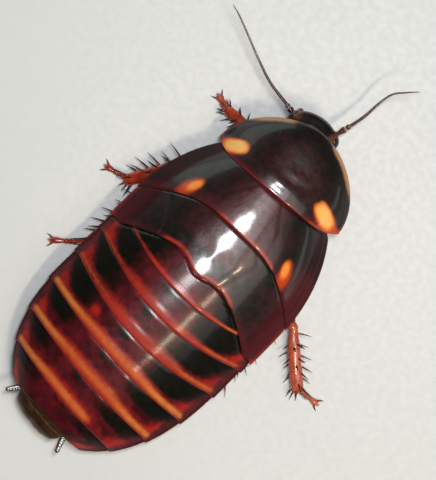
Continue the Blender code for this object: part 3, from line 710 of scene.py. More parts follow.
def pronotum_marks(u, x, y):
    rim = outline_distance(x, y, pronotum_outline())
    hind = pronotum_hind(u) - y
    spot, glow = spot_masks(x, y, PRONOTUM_SPOTS, (1.06, 0.25), (2.8, 0.45), (1.1, 1.2), (2.4, 0.5))
    corner = blob(x, y, (-7.0, -19.15), 1.15, 0.62, -14.0, 2.0, 0.7)
    margin = 0.8 * smooth((-3.9 - x) / 1.2) * smooth(1.0 - hind / 0.5)
    side_corner = blob(x, y, (7.0, -18.8), 0.9, 0.7, 20.0, 2.0, 0.7)
    front_share = smooth((-21.7 - y) / 2.2)
    aside = smooth((np.abs(x - 0.4) - 1.4) / 1.6)
    broad = 0.24 + 0.36 * smooth((-21.5 - y) / 2.5)
    middle = hill(x, y, (-0.2, -20.6), 3.2, 1.6)
    disc = 0.29 * smooth((rim - 0.8) / 1.6)
    return {
        # The broad tan is the pale front margin; the thin tan line on the front rim is its pale edge and a
        # painted highlight along it as well.
        "tan": np.maximum(smooth(1.2 - rim / broad) * (0.1 + 0.9 * front_share) * aside,
                          0.6 * smooth(1.2 - rim / 0.16) * front_share),
        "red": 0.55 * smooth(1.0 - hind / 0.5) + 0.5 * smooth(1.0 - rim / 0.5) * (1.0 - front_share),
        "maroon": np.maximum(0.8 * smooth(1.0 - hind / 1.3),
                             np.maximum(0.85 * side_corner, disc + 0.16 * middle)),
        "spot": spot,
        "glow": np.maximum(glow, np.maximum(corner, margin)),
        "dull": 0.5 * smooth(1.0 - rim / 0.5),
    }


def suture(x, y, path):
    """How far each point lies outside the line between a plate's middle and its wing pad."""
    xs, ys = zip(*path)
    return np.abs(x) - np.interp(y, ys, xs)


# The lines between a plate's middle and its wing pads: how far out they run at each y
MESO_SUTURE = ((1.3, -18.6), (2.2, -17.0), (3.2, -15.6), (3.8, -13.8), (3.9, -12.5))
META_SUTURE = ((3.0, -12.8), (3.9, -11.8), (3.7, -10.6), (3.1, -8.8), (2.6, -7.2))
# A groove's width and depth, and how far the middle stands over the pads
GROOVE_WIDTH = 0.26
GROOVE_DEPTH = 0.02
MIDDLE_STEP = 0.03
# A fold on the left wing pad alone: its width, its depth, which is its step too, and its line
CREASE_WIDTH = 0.3
CREASE_DEPTH = 0.03
META_CREASE = ((8.2, -12.3), (7.4, -10.9), (6.5, -9.4), (5.7, -8.0), (5.3, -6.5))


def suture_lift(x, y, path):
    """The middle of a plate stands a little over its pads, with a fine groove between them."""
    out = suture(x, y, path)
    return MIDDLE_STEP * smooth(0.5 - out / 0.9) - GROOVE_DEPTH * bell(out, 0.0, GROOVE_WIDTH)


def mesonotum_place(u, v, sunk):
    before, hind = PRO_HIND - 0.7 * u * u, meso_hind(u)
    y = MESO_FRONT + (hind - MESO_FRONT) * v**ROW_POWER
    width = half_width(y)
    x = width * u
    veins = 0.01 * np.sin((width * (1.0 - np.abs(u))) * 11.0) * smooth((np.abs(u) - 0.76) / 0.1)
    veins = veins * np.where(u < 0.0, 1.0, 0.3)
    lift = lift_at(y - before, hind - before) + lip(hind - y, *PLATE_LIP) + veins
    lift = lift + suture_lift(x, y, MESO_SUTURE) - dip(x, y, (-0.1, -13.85), 1.35, 0.85, 0.04)
    return x, y, surface_point(back_height, width - SLOPE_MARGIN, x, y, lift - sunk)


def mesonotum_marks(u, x, y):
    hind = meso_hind(u) - y
    side = half_width(y) * (1.0 - np.abs(u))
    lit = smooth((u + 0.56) / 0.08) * smooth((0.36 - u) / 0.2)
    spot, glow = spot_masks(x, y, MESONOTUM_SPOTS, (1.05, 0.5), (2.0, 0.6), (1.5, 1.45), (2.0, 0.7))
    flank = smooth((np.abs(u) - 0.6) / 0.3)
    right = smooth((-0.3 - u) / 0.3) * smooth((y + 15.5) / 2.0)
    centre = bell(u, 0.0, 0.46)
    return {
        "tan": 0.5 * smooth(1.0 - hind / 0.45) * lit * smooth((0.2 - u) / 0.3),
        "red": smooth(1.3 - hind / 0.5) * (0.12 + 0.88 * lit) + 0.35 * smooth(1.0 - side / 0.35),
        "maroon": 0.35 * flank + 0.5 * right * flank + 0.8 * centre + 0.4 * smooth(1.0 - hind / 1.8),
        "spot": spot * 0.66,
        "glow": glow,
        "dull": smooth((np.abs(u) - 0.78) / 0.1),
    }


# Flat places of the metanotum: centre, half width, half length and depth
META_DIPS = (
    ((-1.55, -9.9), 0.9, 0.8, 0.05), ((1.45, -9.9), 0.9, 0.8, 0.05), ((-3.3, -9.6), 0.75, 0.75, 0.035),
    ((-0.1, -11.4), 1.2, 1.1, 0.024), ((-0.1, -8.2), 1.1, 0.9, 0.015),
)


def metanotum_place(u, v, sunk):
    front = meso_hind(u) - TUCK
    hind = meta_hind(u)
    y = front + (hind - front) * v**ROW_POWER
    width = half_width(y)
    x = width * u
    lift = metanotum_lift(u, y) + lip(hind - y, *PLATE_LIP)
    lift = lift + suture_lift(x, y, META_SUTURE) * smooth((y - meso_hind(u) + 0.3) / 0.6)
    lift = lift + 0.022 * hill(x, y, (0.0, -9.55), 0.45, 0.5)
    crease = suture(np.maximum(x, 0.0), y, META_CREASE)
    lift = lift - CREASE_DEPTH * bell(crease, 0.0, CREASE_WIDTH) + CREASE_DEPTH * smooth(0.5 - crease / 1.2)
    for centre, across, length, depth in META_DIPS:
        lift = lift - dip(x, y, centre, across, length, depth)
    return x, y, surface_point(back_height, width - SLOPE_MARGIN, x, y, lift - sunk)


def metanotum_marks(u, x, y):
    hind = meta_hind(u) - y
    side = half_width(y) * (1.0 - np.abs(u))
    lit = smooth((0.52 - np.abs(u)) / 0.12)
    nothing = np.zeros(x.shape)
    flank = smooth((np.abs(u) - 0.62) / 0.3)
    right = smooth((-0.45 - u) / 0.25)
    centre = bell(u, 0.0, 0.46) * (0.35 + 0.65 * smooth((-8.8 - y) / 1.5))
    crease = bell(suture(np.maximum(x, 0.0), y, META_CREASE), 0.0, CREASE_WIDTH)
    return {
        "tan": 0.45 * smooth(1.0 - hind / 0.45) * lit * smooth((0.1 - u) / 0.3) + 0.24 * crease,
        "red": smooth(1.3 - hind / 0.55) * (0.2 + 0.8 * lit) + 0.6 * smooth(1.0 - side / 0.8),
        "maroon": 0.7 * flank + 0.2 * right + 0.75 * centre + 0.5 * smooth(1.0 - hind / 1.2),
        "spot": nothing,
        "glow": nothing,
        "dull": smooth((np.abs(u) - 0.72) / 0.12),
    }


def make_plates():
    plate_sheet("pronotum", pronotum_place, pronotum_marks)
    plate_sheet("mesonotum", mesonotum_place, mesonotum_marks)
    plate_sheet("metanotum", metanotum_place, metanotum_marks)


# Abdomen

AROUND = 192
# Outer rows of a segment: share of its length; then the lip's own rows as (back from the hind edge, lift)
OUTER_ROWS = tuple(np.concatenate((np.linspace(0.0, 0.9, 26), np.linspace(0.92, 1.0, 7))))
LIP_ROWS = ((-0.03, -0.02), (-0.02, -0.06), (0.05, -0.12), (0.3, -0.17), (0.55, -0.2))
# The hind bands, from the first segment to the last: how broad, how much is left at the hind edge, where
# the band turns darker, partly its own redder rim and partly painted shade on the lip that rounds down, and
# at the sides, and how strong and how amber the bright core is at the middle and at the sides
BAND_WIDTH = (0.5, 0.95, 1.2, 1.3, 1.35, 1.2, 0.5)
BAND_SHADED_REAR = (0.9, 0.8, 0.8, 0.65, 0.65, 0.6, 1.0)
BAND_SIDE = (0.8, 0.6, 0.65, 1.0, 1.0, 1.0, 1.0)
BAND_MIDDLE = (1.0, 0.8, 0.85, 1.0, 1.0, 1.0, 1.0)
CORE_MIDDLE = (0.1, 0.15, 0.2, 0.75, 0.7, 0.9, 0.0)
CORE_SIDE = (0.9, 0.6, 0.65, 1.05, 1.0, 1.05, 0.0)
AMBER_MIDDLE = (0.0, 0.2, 0.2, 0.3, 0.25, 0.4, 0.0)
AMBER_SIDE = (0.6, 0.5, 0.6, 1.0, 0.9, 0.9, 0.0)
BAND_RISE = (0.05, 0.02, 0.04, 0.05, 0.05, 0.05, 0.05)
# What is left of a band's colour on the animal's left
BAND_LEFT = (0.45, 0.62, 0.65, 0.85, 0.95, 1.0, 1.0)


def across_band(values_middle, values_side, index, side):
    """A band's value at side, 0 on the middle line and 1 at the margin."""
    return values_middle[index] + (values_side[index] - values_middle[index]) * smooth((side - 0.3) / 0.4)


# Side patches, spots on the middle line and red corners, from the first segment to the last
BLACK_REACH = (1.05, 1.05, 0.95, 0.9, 0.62, 0.62, 0.5)
BLACK_SHARE = (1.0, 1.0, 1.0, 1.0, 0.95, 0.85, 0.75)
MIDDLE_SPOT = (0.4, 0.8, 0.9, 1.0, 0.8, 0.6, 0.2)
CORNER_RED = (0.3, 0.85, 0.8, 0.85, 0.95, 0.8, 1.0)
BLACK_LEFT = (0.31, 0.46, 0.46, 0.46, 0.46, 0.46, 0.46)
BLACK_RIGHT = 0.33


def band_width(index, u):
    """The hind band is broadest at the middle."""
    return BAND_WIDTH[index] * (1.0 - 0.32 * smooth((np.abs(u) - 0.25) / 0.5))


def covered_lift(u, y, lift):
    """The lift of the abdomen's back, sunk where the metanotum lies over it."""
    sunk = np.minimum(lift, metanotum_lift(u, y) - COVER_DEPTH)
    return np.where(y > meta_hind(u) + COVER_REACH, lift, sunk)


def segment_lift(shown, length):
    """Lift of a tergite at shown behind the hind edge of the one before it."""
    rise = -0.24 * (1.0 - smooth((shown + SEGMENT_LAP) / (SEGMENT_LAP + 0.35)))
    return rise + 0.08 * smooth(shown / length)


def segment_ring(y_of_u, lift_of, narrow):
    """One ring round the abdomen: straight points, u and y of each."""
    angle = circle(AROUND)
    u = -np.cos(angle)
    over = np.sin(angle)
    y = y_of_u(u)
    width = half_width(y)
    x = (width - narrow) * u
    lift = covered_lift(u, y, lift_of(u, y) * np.clip(over * 3.0, 0.0, 1.0))
    top = surface_point(back_height, width - SLOPE_MARGIN, x, y, lift)
    side = np.sign(u + 1e-9)
    side_y = y_of_u(side)
    side_width = half_width(side_y)
    side_lift = covered_lift(side, side_y, 0.0)
    side_x = side * (side_width - narrow)
    edge = surface_point(back_height, side_width - SLOPE_MARGIN, side_x, side_y, side_lift)
    belly = along(y, BELLY_STATIONS)
    rise = (edge[:, 2] - 0.2 - belly) * np.abs(u) ** BELLY_POWER
    sink = -lift_of(u, y) * np.clip(-over * 3.0, 0.0, 1.0)
    under = np.stack((np.abs(edge[:, 0]) * u, y, np.maximum(0.0, belly + rise + sink)), axis=-1)
    points = np.where(over[:, None] > 0.001, top, under)
    return points, u, y, over


def make_segment(index, front, front_bow):
    hind, bow = SEGMENT_HINDS[index], SEGMENT_BOWS[index]
    lap = SEGMENT_LAP if index else 0.0

    def before_of(u):
        return front - front_bow * u * u

    def hind_of(u):
        edge = hind - bow * u * u
        if index == LAST_SEGMENT:
            corner = LAST_CORNER * smooth((np.abs(u) - 0.75) / 0.25)
            return edge + LAST_SKEW * np.clip(u, 0.0, 1.0) + corner
        return edge + 0.22 * smooth((np.abs(u) - 0.9) / 0.1)

    def outer_lift(u, y):
        length = hind_of(u) - before_of(u)
        back = hind_of(u) - y
        rim = BAND_RISE[index] * smooth((band_width(index, u) + 0.15 - back) / 0.6)
        return segment_lift(y - before_of(u), length) + rim + lip(back, *SEGMENT_LIP)

    ringed = []
    for share in OUTER_ROWS:
        def y_of_u(u):
            begin = before_of(u) - lap
            return begin + (hind_of(u) - begin) * share

        ringed.append(segment_ring(y_of_u, outer_lift, 0.2 * (1.0 - share)))
    for back, lift in LIP_ROWS:
        inward = 0.06 + 0.1 * back
        ringed.append(segment_ring(lambda u: hind_of(u) - back, lambda u, y: lift + 0.0 * u, inward))
    rings, u, y, over = (np.array(column) for column in zip(*ringed))
    rows = len(rings)
    faces = grid_faces(rows, AROUND, wrap=True) + cap_faces(rows, AROUND)
    middles = [(rings[row, AROUND // 4] + rings[row, 3 * AROUND // 4]) / 2.0 for row in (0, rows - 1)]
    points = np.concatenate((rings.reshape(-1, 3), np.array(middles)))
    attributes = segment_marks(index, u, y, over, before_of(u), hind_of(u))
    attributes = {key: np.append(values.ravel(), (0.0, 0.0)) for key, values in attributes.items()}
    name = f"abdomen_plate_{index + 1}"
    obj = array_mesh(name, bent(points), faces, MATERIALS["abdomen"], attributes)
    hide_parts(f"abdomen_segment_{index + 1}")


def segment_marks(index, u, y, over, before, hind):
    """Markings of one tergite. free runs from 0 at the plate before it to 1 at its own hind band."""
    back = hind - y
    width = band_width(index, u)
    free = (y - before) / (hind - before - width)
    top = (over > -0.02).astype(float)
    side = np.abs(u)
    near = back / width
    # The band fades at its hind edge: partly its redder rim, partly painted shade where the lip rounds down.
    band = smooth(1.45 - near) * (BAND_SHADED_REAR[index] + (1.0 - BAND_SHADED_REAR[index]) * smooth(near / 0.4))
    band = band * across_band(BAND_MIDDLE, BAND_SIDE, index, side)
    core = bell(near, 0.55, 0.34) * across_band(CORE_MIDDLE, CORE_SIDE, index, side)
    left = 1.0 - (1.0 - BAND_LEFT[index]) * smooth((u - 0.2) / 0.4)
    band, core = band * left, core * left
    if index == 5:
        band, core = band * smooth((u + 0.58) / 0.2), core * smooth((u + 0.55) / 0.2)
    if index == LAST_SEGMENT:
        band = np.zeros(u.shape)
    outer = 0.97 - 0.24 * np.clip(free, 0.0, 1.0) ** 1.2
    inner = np.where(u > 0.0, BLACK_LEFT[index], BLACK_RIGHT)
    black = (smooth((side - inner) / 0.5 + 0.5) * smooth((outer - side) / 0.24 + 0.5)
             * smooth((BLACK_REACH[index] - free) / 0.3 + 0.5))
    middle = bell(u, 0.055, 0.08) * smooth((0.66 - free) / 0.34) * MIDDLE_SPOT[index]
    corner = smooth((side - outer) / 0.2 + 0.35) * smooth((0.96 - side) / 0.08) * smooth((free - 0.15) / 0.45)
    corner = corner * CORNER_RED[index]
    near_share = 0.5 * smooth((free - 0.6) / 0.4) * (1.0 - 0.5 * side)
    near_band = near_share * (1.0 if index < LAST_SEGMENT else 0.2)
    behind = 0.45 * smooth(1.0 - free / 0.22) * smooth((0.5 - side) / 0.25) if index > 1 else 0.0
    near_band = np.maximum(near_band, behind)
    glow = blob(u * half_width(y), y, (4.25, 2.9), 0.62, 0.66, 0.0, 2.0, 0.8) if index == 3 else 0.0
    rear = np.zeros(u.shape)
    if index == LAST_SEGMENT:
        rear = smooth(1.1 - back / 0.5) * smooth((0.85 - side) / 0.2)
    shown = free > -0.05
    flank = 0.7 * smooth((side - 0.62) / 0.2) * smooth((0.96 - side) / 0.08) * smooth((0.9 - free) / 0.3)
    under = (1.0 - top) * (flank + 0.5 * hill(side, free, (0.34, 0.35), 0.07, 0.2))
    return {
        "belly": 1.0 - top,
        "red": top * np.maximum(np.maximum(corner, near_band), glow),
        "black": top * shown * np.maximum(black * BLACK_SHARE[index], middle) * (1.0 - glow) + under,
        "amber": across_band(AMBER_MIDDLE, AMBER_SIDE, index, side),
        "core": top * core * smooth((0.965 - side) / 0.06),
        "band": top * band * smooth((0.975 - side) / 0.07) + (1.0 - top) * 0.4 * band,
        "edge": top * smooth((side - 0.94) / 0.045) * 0.9,
        "rear": top * rear,
    }


def make_abdomen():
    front, bow = ABDOMEN_FRONT, FRONT_BOW
    for index in range(len(SEGMENT_HINDS)):
        make_segment(index, front, bow)
        front, bow = SEGMENT_HINDS[index], SEGMENT_BOWS[index]


# Limbs and the head: rings of points joined into one closed piece

class Form:
    """Gathers closed forms and their marks into one mesh."""

    def __init__(self, *mark_names):
        self.points = []
        self.faces = []
        self.marks = {name: [] for name in mark_names}
        self.count = 0

    def rings(self, rings, **marks):
        """Adds a closed form through rings of points; its ends close to their middles."""
        rings = np.asarray(rings, dtype=float)
        rows, around = rings.shape[:2]
        self.faces += grid_faces(rows, around, wrap=True, start=self.count)
        self.faces += cap_faces(rows, around, self.count)
        ends = (rings[0].mean(axis=0), rings[-1].mean(axis=0))
        self.points.append(np.concatenate((rings.reshape(-1, 3), np.array(ends))))
        for name, store in self.marks.items():
            values = np.broadcast_to(np.asarray(marks.get(name, 0.0), dtype=float), (rows, around))
            store.append(np.concatenate((values.ravel(), (values[0].mean(), values[-1].mean()))))
        self.count += rows * around + 2

    def make(self, name, material, slot, *nodes):
        marks = {key: np.concatenate(store) for key, store in self.marks.items()}
        obj = array_mesh(name, np.concatenate(self.points), self.faces, MATERIALS[material], marks)
        if nodes:
            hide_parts(*nodes)
        return obj


def through(t, stations):
    """Smooth values at t through (t, value) stations."""
    t = np.asarray(t, dtype=float)
    ts = np.array([station[0] for station in stations], dtype=float)
    values = np.array([station[1] for station in stations], dtype=float)
    slopes = np.gradient(values, ts)
    i = np.clip(np.searchsorted(ts, t, side="right") - 1, 0, len(ts) - 2)
    span = ts[i + 1] - ts[i]
    f = np.clip((t - ts[i]) / span, 0.0, 1.0)
    return ((2 * f**3 - 3 * f**2 + 1) * values[i] + (f**3 - 2 * f**2 + f) * span * slopes[i]
            + (-2 * f**3 + 3 * f**2) * values[i + 1] + (f**3 - f**2) * span * slopes[i + 1])


def curve_points(path, t):
    """Points at t in 0..1 on the smooth curve through path, the same curve as in the source."""
    path = np.asarray(path, dtype=float)
    padded = np.concatenate(([2 * path[0] - path[1]], path, [2 * path[-1] - path[-2]]))
    place = np.clip(np.asarray(t) * (len(path) - 1), 0.0, len(path) - 1 - 1e-9)
    i = place.astype(int)
    f = (place - i)[:, None]
    p0, p1, p2, p3 = (padded[i + k] for k in range(4))
    return 0.5 * (2 * p1 + (p2 - p0) * f + (2 * p0 - 5 * p1 + 4 * p2 - p3) * f**2
                  + (3 * p1 - p0 - 3 * p2 + p3) * f**3)


def columns_at(t, table):
    """The table's other columns at t, which runs along its first."""
    keys, *columns = zip(*table)
    return [through(t, list(zip(keys, column))) for column in columns]


def unit(vectors):
    return vectors / np.maximum(1e-9, np.linalg.norm(vectors, axis=-1, keepdims=True))


def path_frame(centre):
    """Directions ahead, to the side and up along a curve's points."""
    ahead = unit(np.gradient(centre, axis=0))
    side = unit(np.cross(ahead, (0.0, 0.0, 1.0)))
    return ahead, side, np.cross(side, ahead)


# Shares of a quarter turn for the rings that round off a limb's end, and that close the head's top
CAP_TURNS = (0.35, 0.7, 0.93)
CROWN_TURNS = (0.3, 0.55, 0.75, 0.92)
CROWN_RISE = 0.13


def limb(path, wide, high, rows, around, power=2.0, floor=None):
    """Rings along a smooth path. wide and high are (share, half size) stations."""
    t = np.linspace(0.0, 1.0, rows)
    centre = curve_points(path, t)
    ahead, side, up = path_frame(centre)
    angle = circle(around)
    across, rise = squared(angle, 2.0 / power)
    half_wide, half_high = through(t, wide), through(t, high)
    rings = (centre[:, None, :] + side[:, None, :] * (half_wide[:, None] * across)[..., None]
             + up[:, None, :] * (half_high[:, None] * rise)[..., None])
    caps = []
    for row, way in ((0, -1.0), (-1, 1.0)):
        dome = []
        for turn in CAP_TURNS:
            shrunk = centre[row] + (rings[row] - centre[row]) * math.cos(turn * math.pi / 2)
            dome.append(shrunk + ahead[row] * way * half_high[row] * 0.7 * math.sin(turn * math.pi / 2))
        caps.append(dome)
    rings = np.concatenate((np.array(caps[0][::-1]), rings, np.array(caps[1])))
    if floor is not None:
        rings[..., 2] = np.maximum(floor, rings[..., 2])
    return rings


def spine_rings(root, direction, length, radius, bend=(0.0, 0.0, 0.0), around=7, rows=7):
    """A fine tapered spine, its root sunk a little into what carries it."""
    direction = unit(np.asarray(direction, dtype=float))
    side = unit(np.cross(direction, (0.31, 0.17, 0.93)))
    up = np.cross(side, direction)
    t = np.linspace(0.0, 1.0, rows)
    straight = np.asarray(root) + direction * (t * length)[:, None]
    centre = straight + np.asarray(bend) * (t**2 * length)[:, None]
    size = radius * (1.0 - t) ** 0.75 * (1.0 + 0.35 * bell(t, 0.12, 0.1)) + 0.012
    angle = circle(around)
    ring = side * np.cos(angle)[:, None] + up * np.sin(angle)[:, None]
    return centre[:, None, :] + ring[None] * size[:, None, None]


# Legs, as in the source
LEGS = {
    "left_fore": {
        "coxa": ((1.45, -22.5, 1.3), (2.6, -18.9, 1.15)),
        "shoulder": (3.75, -18.7, 1.15), "knee": (5.4, -21.4, 1.7), "ankle": (9.15, -21.4, 0.8),
        "tip": (10.85, -21.85, 0.3), "scale": 0.9,
        "tarsus": 1.3, "spines": 0.75, "fewer": 1, "pale": 0.3,
    },
    "left_mid": {
        "coxa": ((1.75, -16.6, 1.25), (3.3, -12.5, 1.05)),
        "shoulder": (4.5, -12.2, 1.1), "knee": (8.4, -15.2, 1.8), "ankle": (11.75, -9.2, 0.8),
        "tip": (14.25, -8.65, 0.3), "scale": 1.0, "spines": 1.12,
    },
    "left_hind": {
        "coxa": ((1.85, -10.8, 1.25), (3.7, -6.4, 1.0)),
        "shoulder": (4.9, -6.1, 1.0), "knee": (9.4, -9.6, 1.75), "ankle": (10.25, -1.7, 0.8),
        "tip": (13.2, 0.75, 0.3), "scale": 1.0,
    },
    "right_fore": {
        "coxa": ((-0.85, -22.5, 1.35), (-2.0, -18.9, 1.15)),
        "shoulder": (-3.15, -18.2, 1.15), "knee": (-5.5, -19.8, 1.7), "ankle": (-4.2, -22.8, 0.8),
        "tip": (-3.05, -24.8, 0.3), "scale": 0.85,
    },
    "right_mid": {
        "coxa": ((-1.55, -16.6, 1.25), (-3.1, -12.5, 1.05)),
        "shoulder": (-4.3, -12.1, 1.1), "knee": (-10.75, -10.1, 1.9), "ankle": (-15.65, -5.6, 0.8),
        "tip": (-18.1, -5.8, 0.3), "scale": 1.08,
        # The right middle leg's higher pale is a painted highlight: it lightens the whole leg, as its
        # highlights do.
        "spines": 0.78, "pale": 0.45,
    },
    "right_hind": {
        "coxa": ((-1.85, -10.8, 1.25), (-3.5, -6.4, 1.0)),
        "shoulder": (-4.7, -6.0, 1.0), "knee": (-8.8, -9.0, 1.75), "ankle": (-9.15, -1.1, 0.8),
        "tip": (-8.9, 2.7, 0.3), "scale": 1.0,
    },
}
COXA_HALF = 1.42
FEMUR_HALF = 0.82
TIBIA_HALF = 0.63
TARSUS_HALF = 0.29
CLAW_ROWS = 18
# Spine rows of a tibia: angle round it from its outer side, first and last share, spines, length
SPINE_ROWS = (
    (2.0, 0.15, 0.95, 6, 1.75), (40.0, 0.3, 0.92, 4, 1.45), (78.0, 0.35, 0.88, 3, 1.1),
    (150.0, 0.3, 0.9, 4, 1.3), (178.0, 0.4, 0.94, 4, 1.4), (-38.0, 0.35, 0.92, 4, 1.2),
)
# A spine is red where it stands in the leg and nearly black further out
SPINE_DARK = smooth(np.linspace(0.0, 1.0, 7) / 0.45)[:, None]


def make_coxa(name, leg):
    root, end = (np.array(point) for point in leg["coxa"])
    size = COXA_HALF * leg["scale"]
    form = Form("dark", "pale")
    wide = ((0.0, size * 0.7), (0.25, size), (0.6, size * 0.86), (0.9, 0.62), (1.0, 0.5))
    high = ((0.0, 0.5), (0.25, 0.58), (0.6, 0.56), (0.9, 0.46), (1.0, 0.42))
    around = 36
    rings = limb((root, end), wide, high, 60, around, 2.3)
    rows = row_shares(rings)
    angle = circle(around)
    outer = np.cos(angle) * (1.0 if name.startswith("left") else -1.0)
    groove = bell(outer, 0.42, 0.2) * (np.sin(angle) < 0.0) * smooth(rows / 0.3)
    rings[..., 2] = np.maximum(0.0, rings[..., 2] + 0.16 * groove)
    dark = 0.6 * smooth((np.abs(outer) - 0.72) / 0.25) + 0.5 * groove + 0.3
    dark = np.maximum(dark, 0.9 * smooth((rows - 0.93) / 0.07))
    form.rings(rings, dark=dark, pale=0.4 * smooth((0.1 - rows) / 0.1))
    form.make(f"coxa_{name}_shell", "leg", "leg_red", f"coxa_{name}")


def make_femur(name, leg):
    root, end = (np.array(point) for point in leg["coxa"])
    shoulder, knee = np.array(leg["shoulder"]), np.array(leg["knee"])
    size = FEMUR_HALF * leg["scale"]
    trochanter = end + unit(end - root) * 0.8
    thigh_end = knee + unit(shoulder - knee) * 0.35
    path = (trochanter, shoulder, shoulder + (thigh_end - shoulder) * 0.5, thigh_end)
    wide = ((0.0, 0.44), (0.1, 0.5), (0.16, 0.44), (0.28, size * 0.86), (0.45, size), (0.7, size * 0.9),
            (0.9, size * 0.66), (0.96, size * 0.7), (1.0, size * 0.55))
    high = tuple((t, half * 0.72 + 0.05) for t, half in wide)
    form = Form("dark", "pale")
    rings = limb(path, wide, high, 64, 24, 2.1, floor=0.0)
    rows = row_shares(rings)
    form.rings(rings, dark=0.9 * smooth((rows - 0.95) / 0.04) + 0.7 * bell(rows, 0.19, 0.02),
               pale=0.7 * smooth((0.16 - rows) / 0.1))
    ahead = unit(thigh_end - shoulder)
    across = unit(np.cross(ahead, (0.0, 0.0, 1.0)))
    for way in (-1.0, 1.0):
        for k in range(5):
            share = 0.3 + 0.62 * k / 4
            foot = shoulder + (thigh_end - shoulder) * share
            half = size * (0.95 - 0.35 * share)
            out = across * way * 0.9 + np.array((0.0, 0.0, -0.35)) + ahead * 0.35
            foot = foot + across * way * half * 0.75
            form.rings(spine_rings(foot, out, 0.55 + 0.3 * (k % 2), 0.07), dark=SPINE_DARK)
    form.make(f"femur_{name}_shell", "leg", "leg_red", f"femur_{name}")


def make_tibia(name, leg, way):
    knee, ankle = np.array(leg["knee"]), np.array(leg["ankle"])
    scale = leg["scale"]
    size = TIBIA_HALF * scale
    ahead = unit(ankle - knee)
    across = unit(np.cross(ahead, (0.0, 0.0, 1.0)))
    outward = across if across[0] * way > 0.0 else -across
    up = np.cross(outward, ahead)
    up = up if up[2] > 0.0 else -up
    end = ankle + ahead * 0.3
    begin = knee - ahead * 0.1
    bow = np.array((0.0, 0.0, 0.12)) - outward * 0.1
    path = (begin, begin + (end - begin) * 0.5 + bow, end)
    wide = ((0.0, size * 0.5), (0.05, size * 0.75), (0.1, size * 0.7), (0.3, size * 0.93), (0.6, size),
            (0.85, size), (0.95, size * 0.9), (1.0, size * 0.62))
    high = tuple((t, half * 0.8) for t, half in wide)
    form = Form("dark", "pale")
    rings = limb(path, wide, high, 70, 24, 2.2)
    rows = row_shares(rings)
    # The leg's pale share lightens the whole tibia; its larger value on the right middle leg is a painted
    # highlight.
    form.rings(rings, dark=0.6 * smooth((0.05 - rows) / 0.04) + 0.4 * smooth((rows - 0.96) / 0.04),
               pale=leg.get("pale", 0.1) + 0.0 * rows)
    for row, (angle, first, last, count, length) in enumerate(SPINE_ROWS):
        count = count - leg.get("fewer", 0)
        for k in range(count):
            t = first + (last - first) * k / (count - 1)
            turn = math.radians(angle + 7.0 * math.sin(1.7 * k + row))
            away = outward * math.cos(turn) + up * math.sin(turn)
            centre = curve_points(path, np.array([t]))[0]
            half = float(through(t, wide))
            lean = 0.15 + 0.9 * t * t
            reach = length * scale * leg.get("spines", 1.0) * (0.9 + 0.16 * math.sin(2.3 * k + angle))
            root = centre + away * half * 0.7
            thorn = spine_rings(root, away + ahead * lean, reach, 0.105, bend=ahead * 0.14)
            form.rings(thorn, dark=SPINE_DARK)
    for k in range(5):
        turn = 2.0 * math.pi * (k + 0.5) / 5
        away = outward * math.cos(turn) + up * math.sin(turn)
        root = end - ahead * 0.05 + away * size * 0.6
        form.rings(spine_rings(root, away * 0.6 + ahead, 0.95 * scale, 0.1), dark=SPINE_DARK)
    form.make(f"tibia_{name}_shell", "leg", "leg_red", f"tibia_{name}")


def make_tarsus(name, leg):
    """Five joints with small thorns below, two curved claws and the pale pad between them."""
    ankle, tip = np.array(leg["ankle"]), np.array(leg["tip"])
    half = TARSUS_HALF * leg.get("tarsus", 1.0)
    ahead = unit(tip - ankle)
    start = ankle + ahead * 0.3
    across = unit(np.cross(ahead, (0.0, 0.0, 1.0)))
    middle = start + (tip - start) * 0.4
    middle[2] = 0.4
    path = (start, middle, tip)
    joints = (0.0, 0.34, 0.47, 0.58, 0.68, 1.0)
    wide = []
    for begin, finish in zip(joints, joints[1:]):
        length = finish - begin
        swell = 1.15 if finish == 1.0 else 1.08
        wide += [(begin + 0.012, half * 0.8), (begin + 0.35 * length, half * 0.94),
                 (finish - 0.22 * length, half * swell), (finish - 0.012, half * 0.94)]
    form = Form("dark", "pale")
    rings = limb(path, wide, wide, 96, 18, 2.0, floor=0.0)
    rows = row_shares(rings)
    rims = sum(bell(rows, joint, 0.012) for joint in joints[1:-1])
    # The leg's pale share lightens the tarsus too; on the right middle leg it is a painted highlight.
    form.rings(rings, dark=0.6 * rims, pale=0.12 + leg.get("pale", 0.1) + 0.0 * rows)
    for joint in joints[1:-1]:
        place = curve_points(path, np.array([joint - 0.03]))[0] - (0.0, 0.0, half * 0.85)
        for way in (-1.0, 1.0):
            thorn = spine_rings(place + across * way * 0.12, across * way * 0.6 + ahead, 0.25, 0.05)
            form.rings(thorn, dark=0.8)
    pad = limb((tip - ahead * 0.05, tip + ahead * 0.4), ((0.0, 0.12), (0.6, 0.19), (1.0, 0.08)),
               ((0.0, 0.1), (0.6, 0.12), (1.0, 0.07)), 10, 12, floor=0.0)
    form.rings(pad, pale=1.0)
    form.make(f"tarsus_{name}_shell", "leg", "leg_red", f"tarsus_{name}")
    claws = Form("dark")
    for way in (-1.0, 1.0):
        root = tip + across * way * 0.1 - ahead * 0.16
        out = ahead * 0.6 + across * way * 0.9
        bend = ahead * 0.3 - across * way * 0.15 + np.array((0.0, 0.0, -0.2))
        claw = spine_rings(root, out, 0.85, 0.15, bend=bend, around=12, rows=CLAW_ROWS)
        claw[..., 2] = np.maximum(0.0, claw[..., 2])
        claws.rings(claw, dark=smooth((np.linspace(0.0, 1.0, CLAW_ROWS) - 0.3) / 0.6)[:, None])
    claws.make(f"claws_{name}", "claw", "leg_red")


def make_legs():
    for name, leg in LEGS.items():
        make_coxa(name, leg)
        make_femur(name, leg)
        make_tibia(name, leg, 1.0 if name.startswith("left") else -1.0)
        make_tarsus(name, leg)


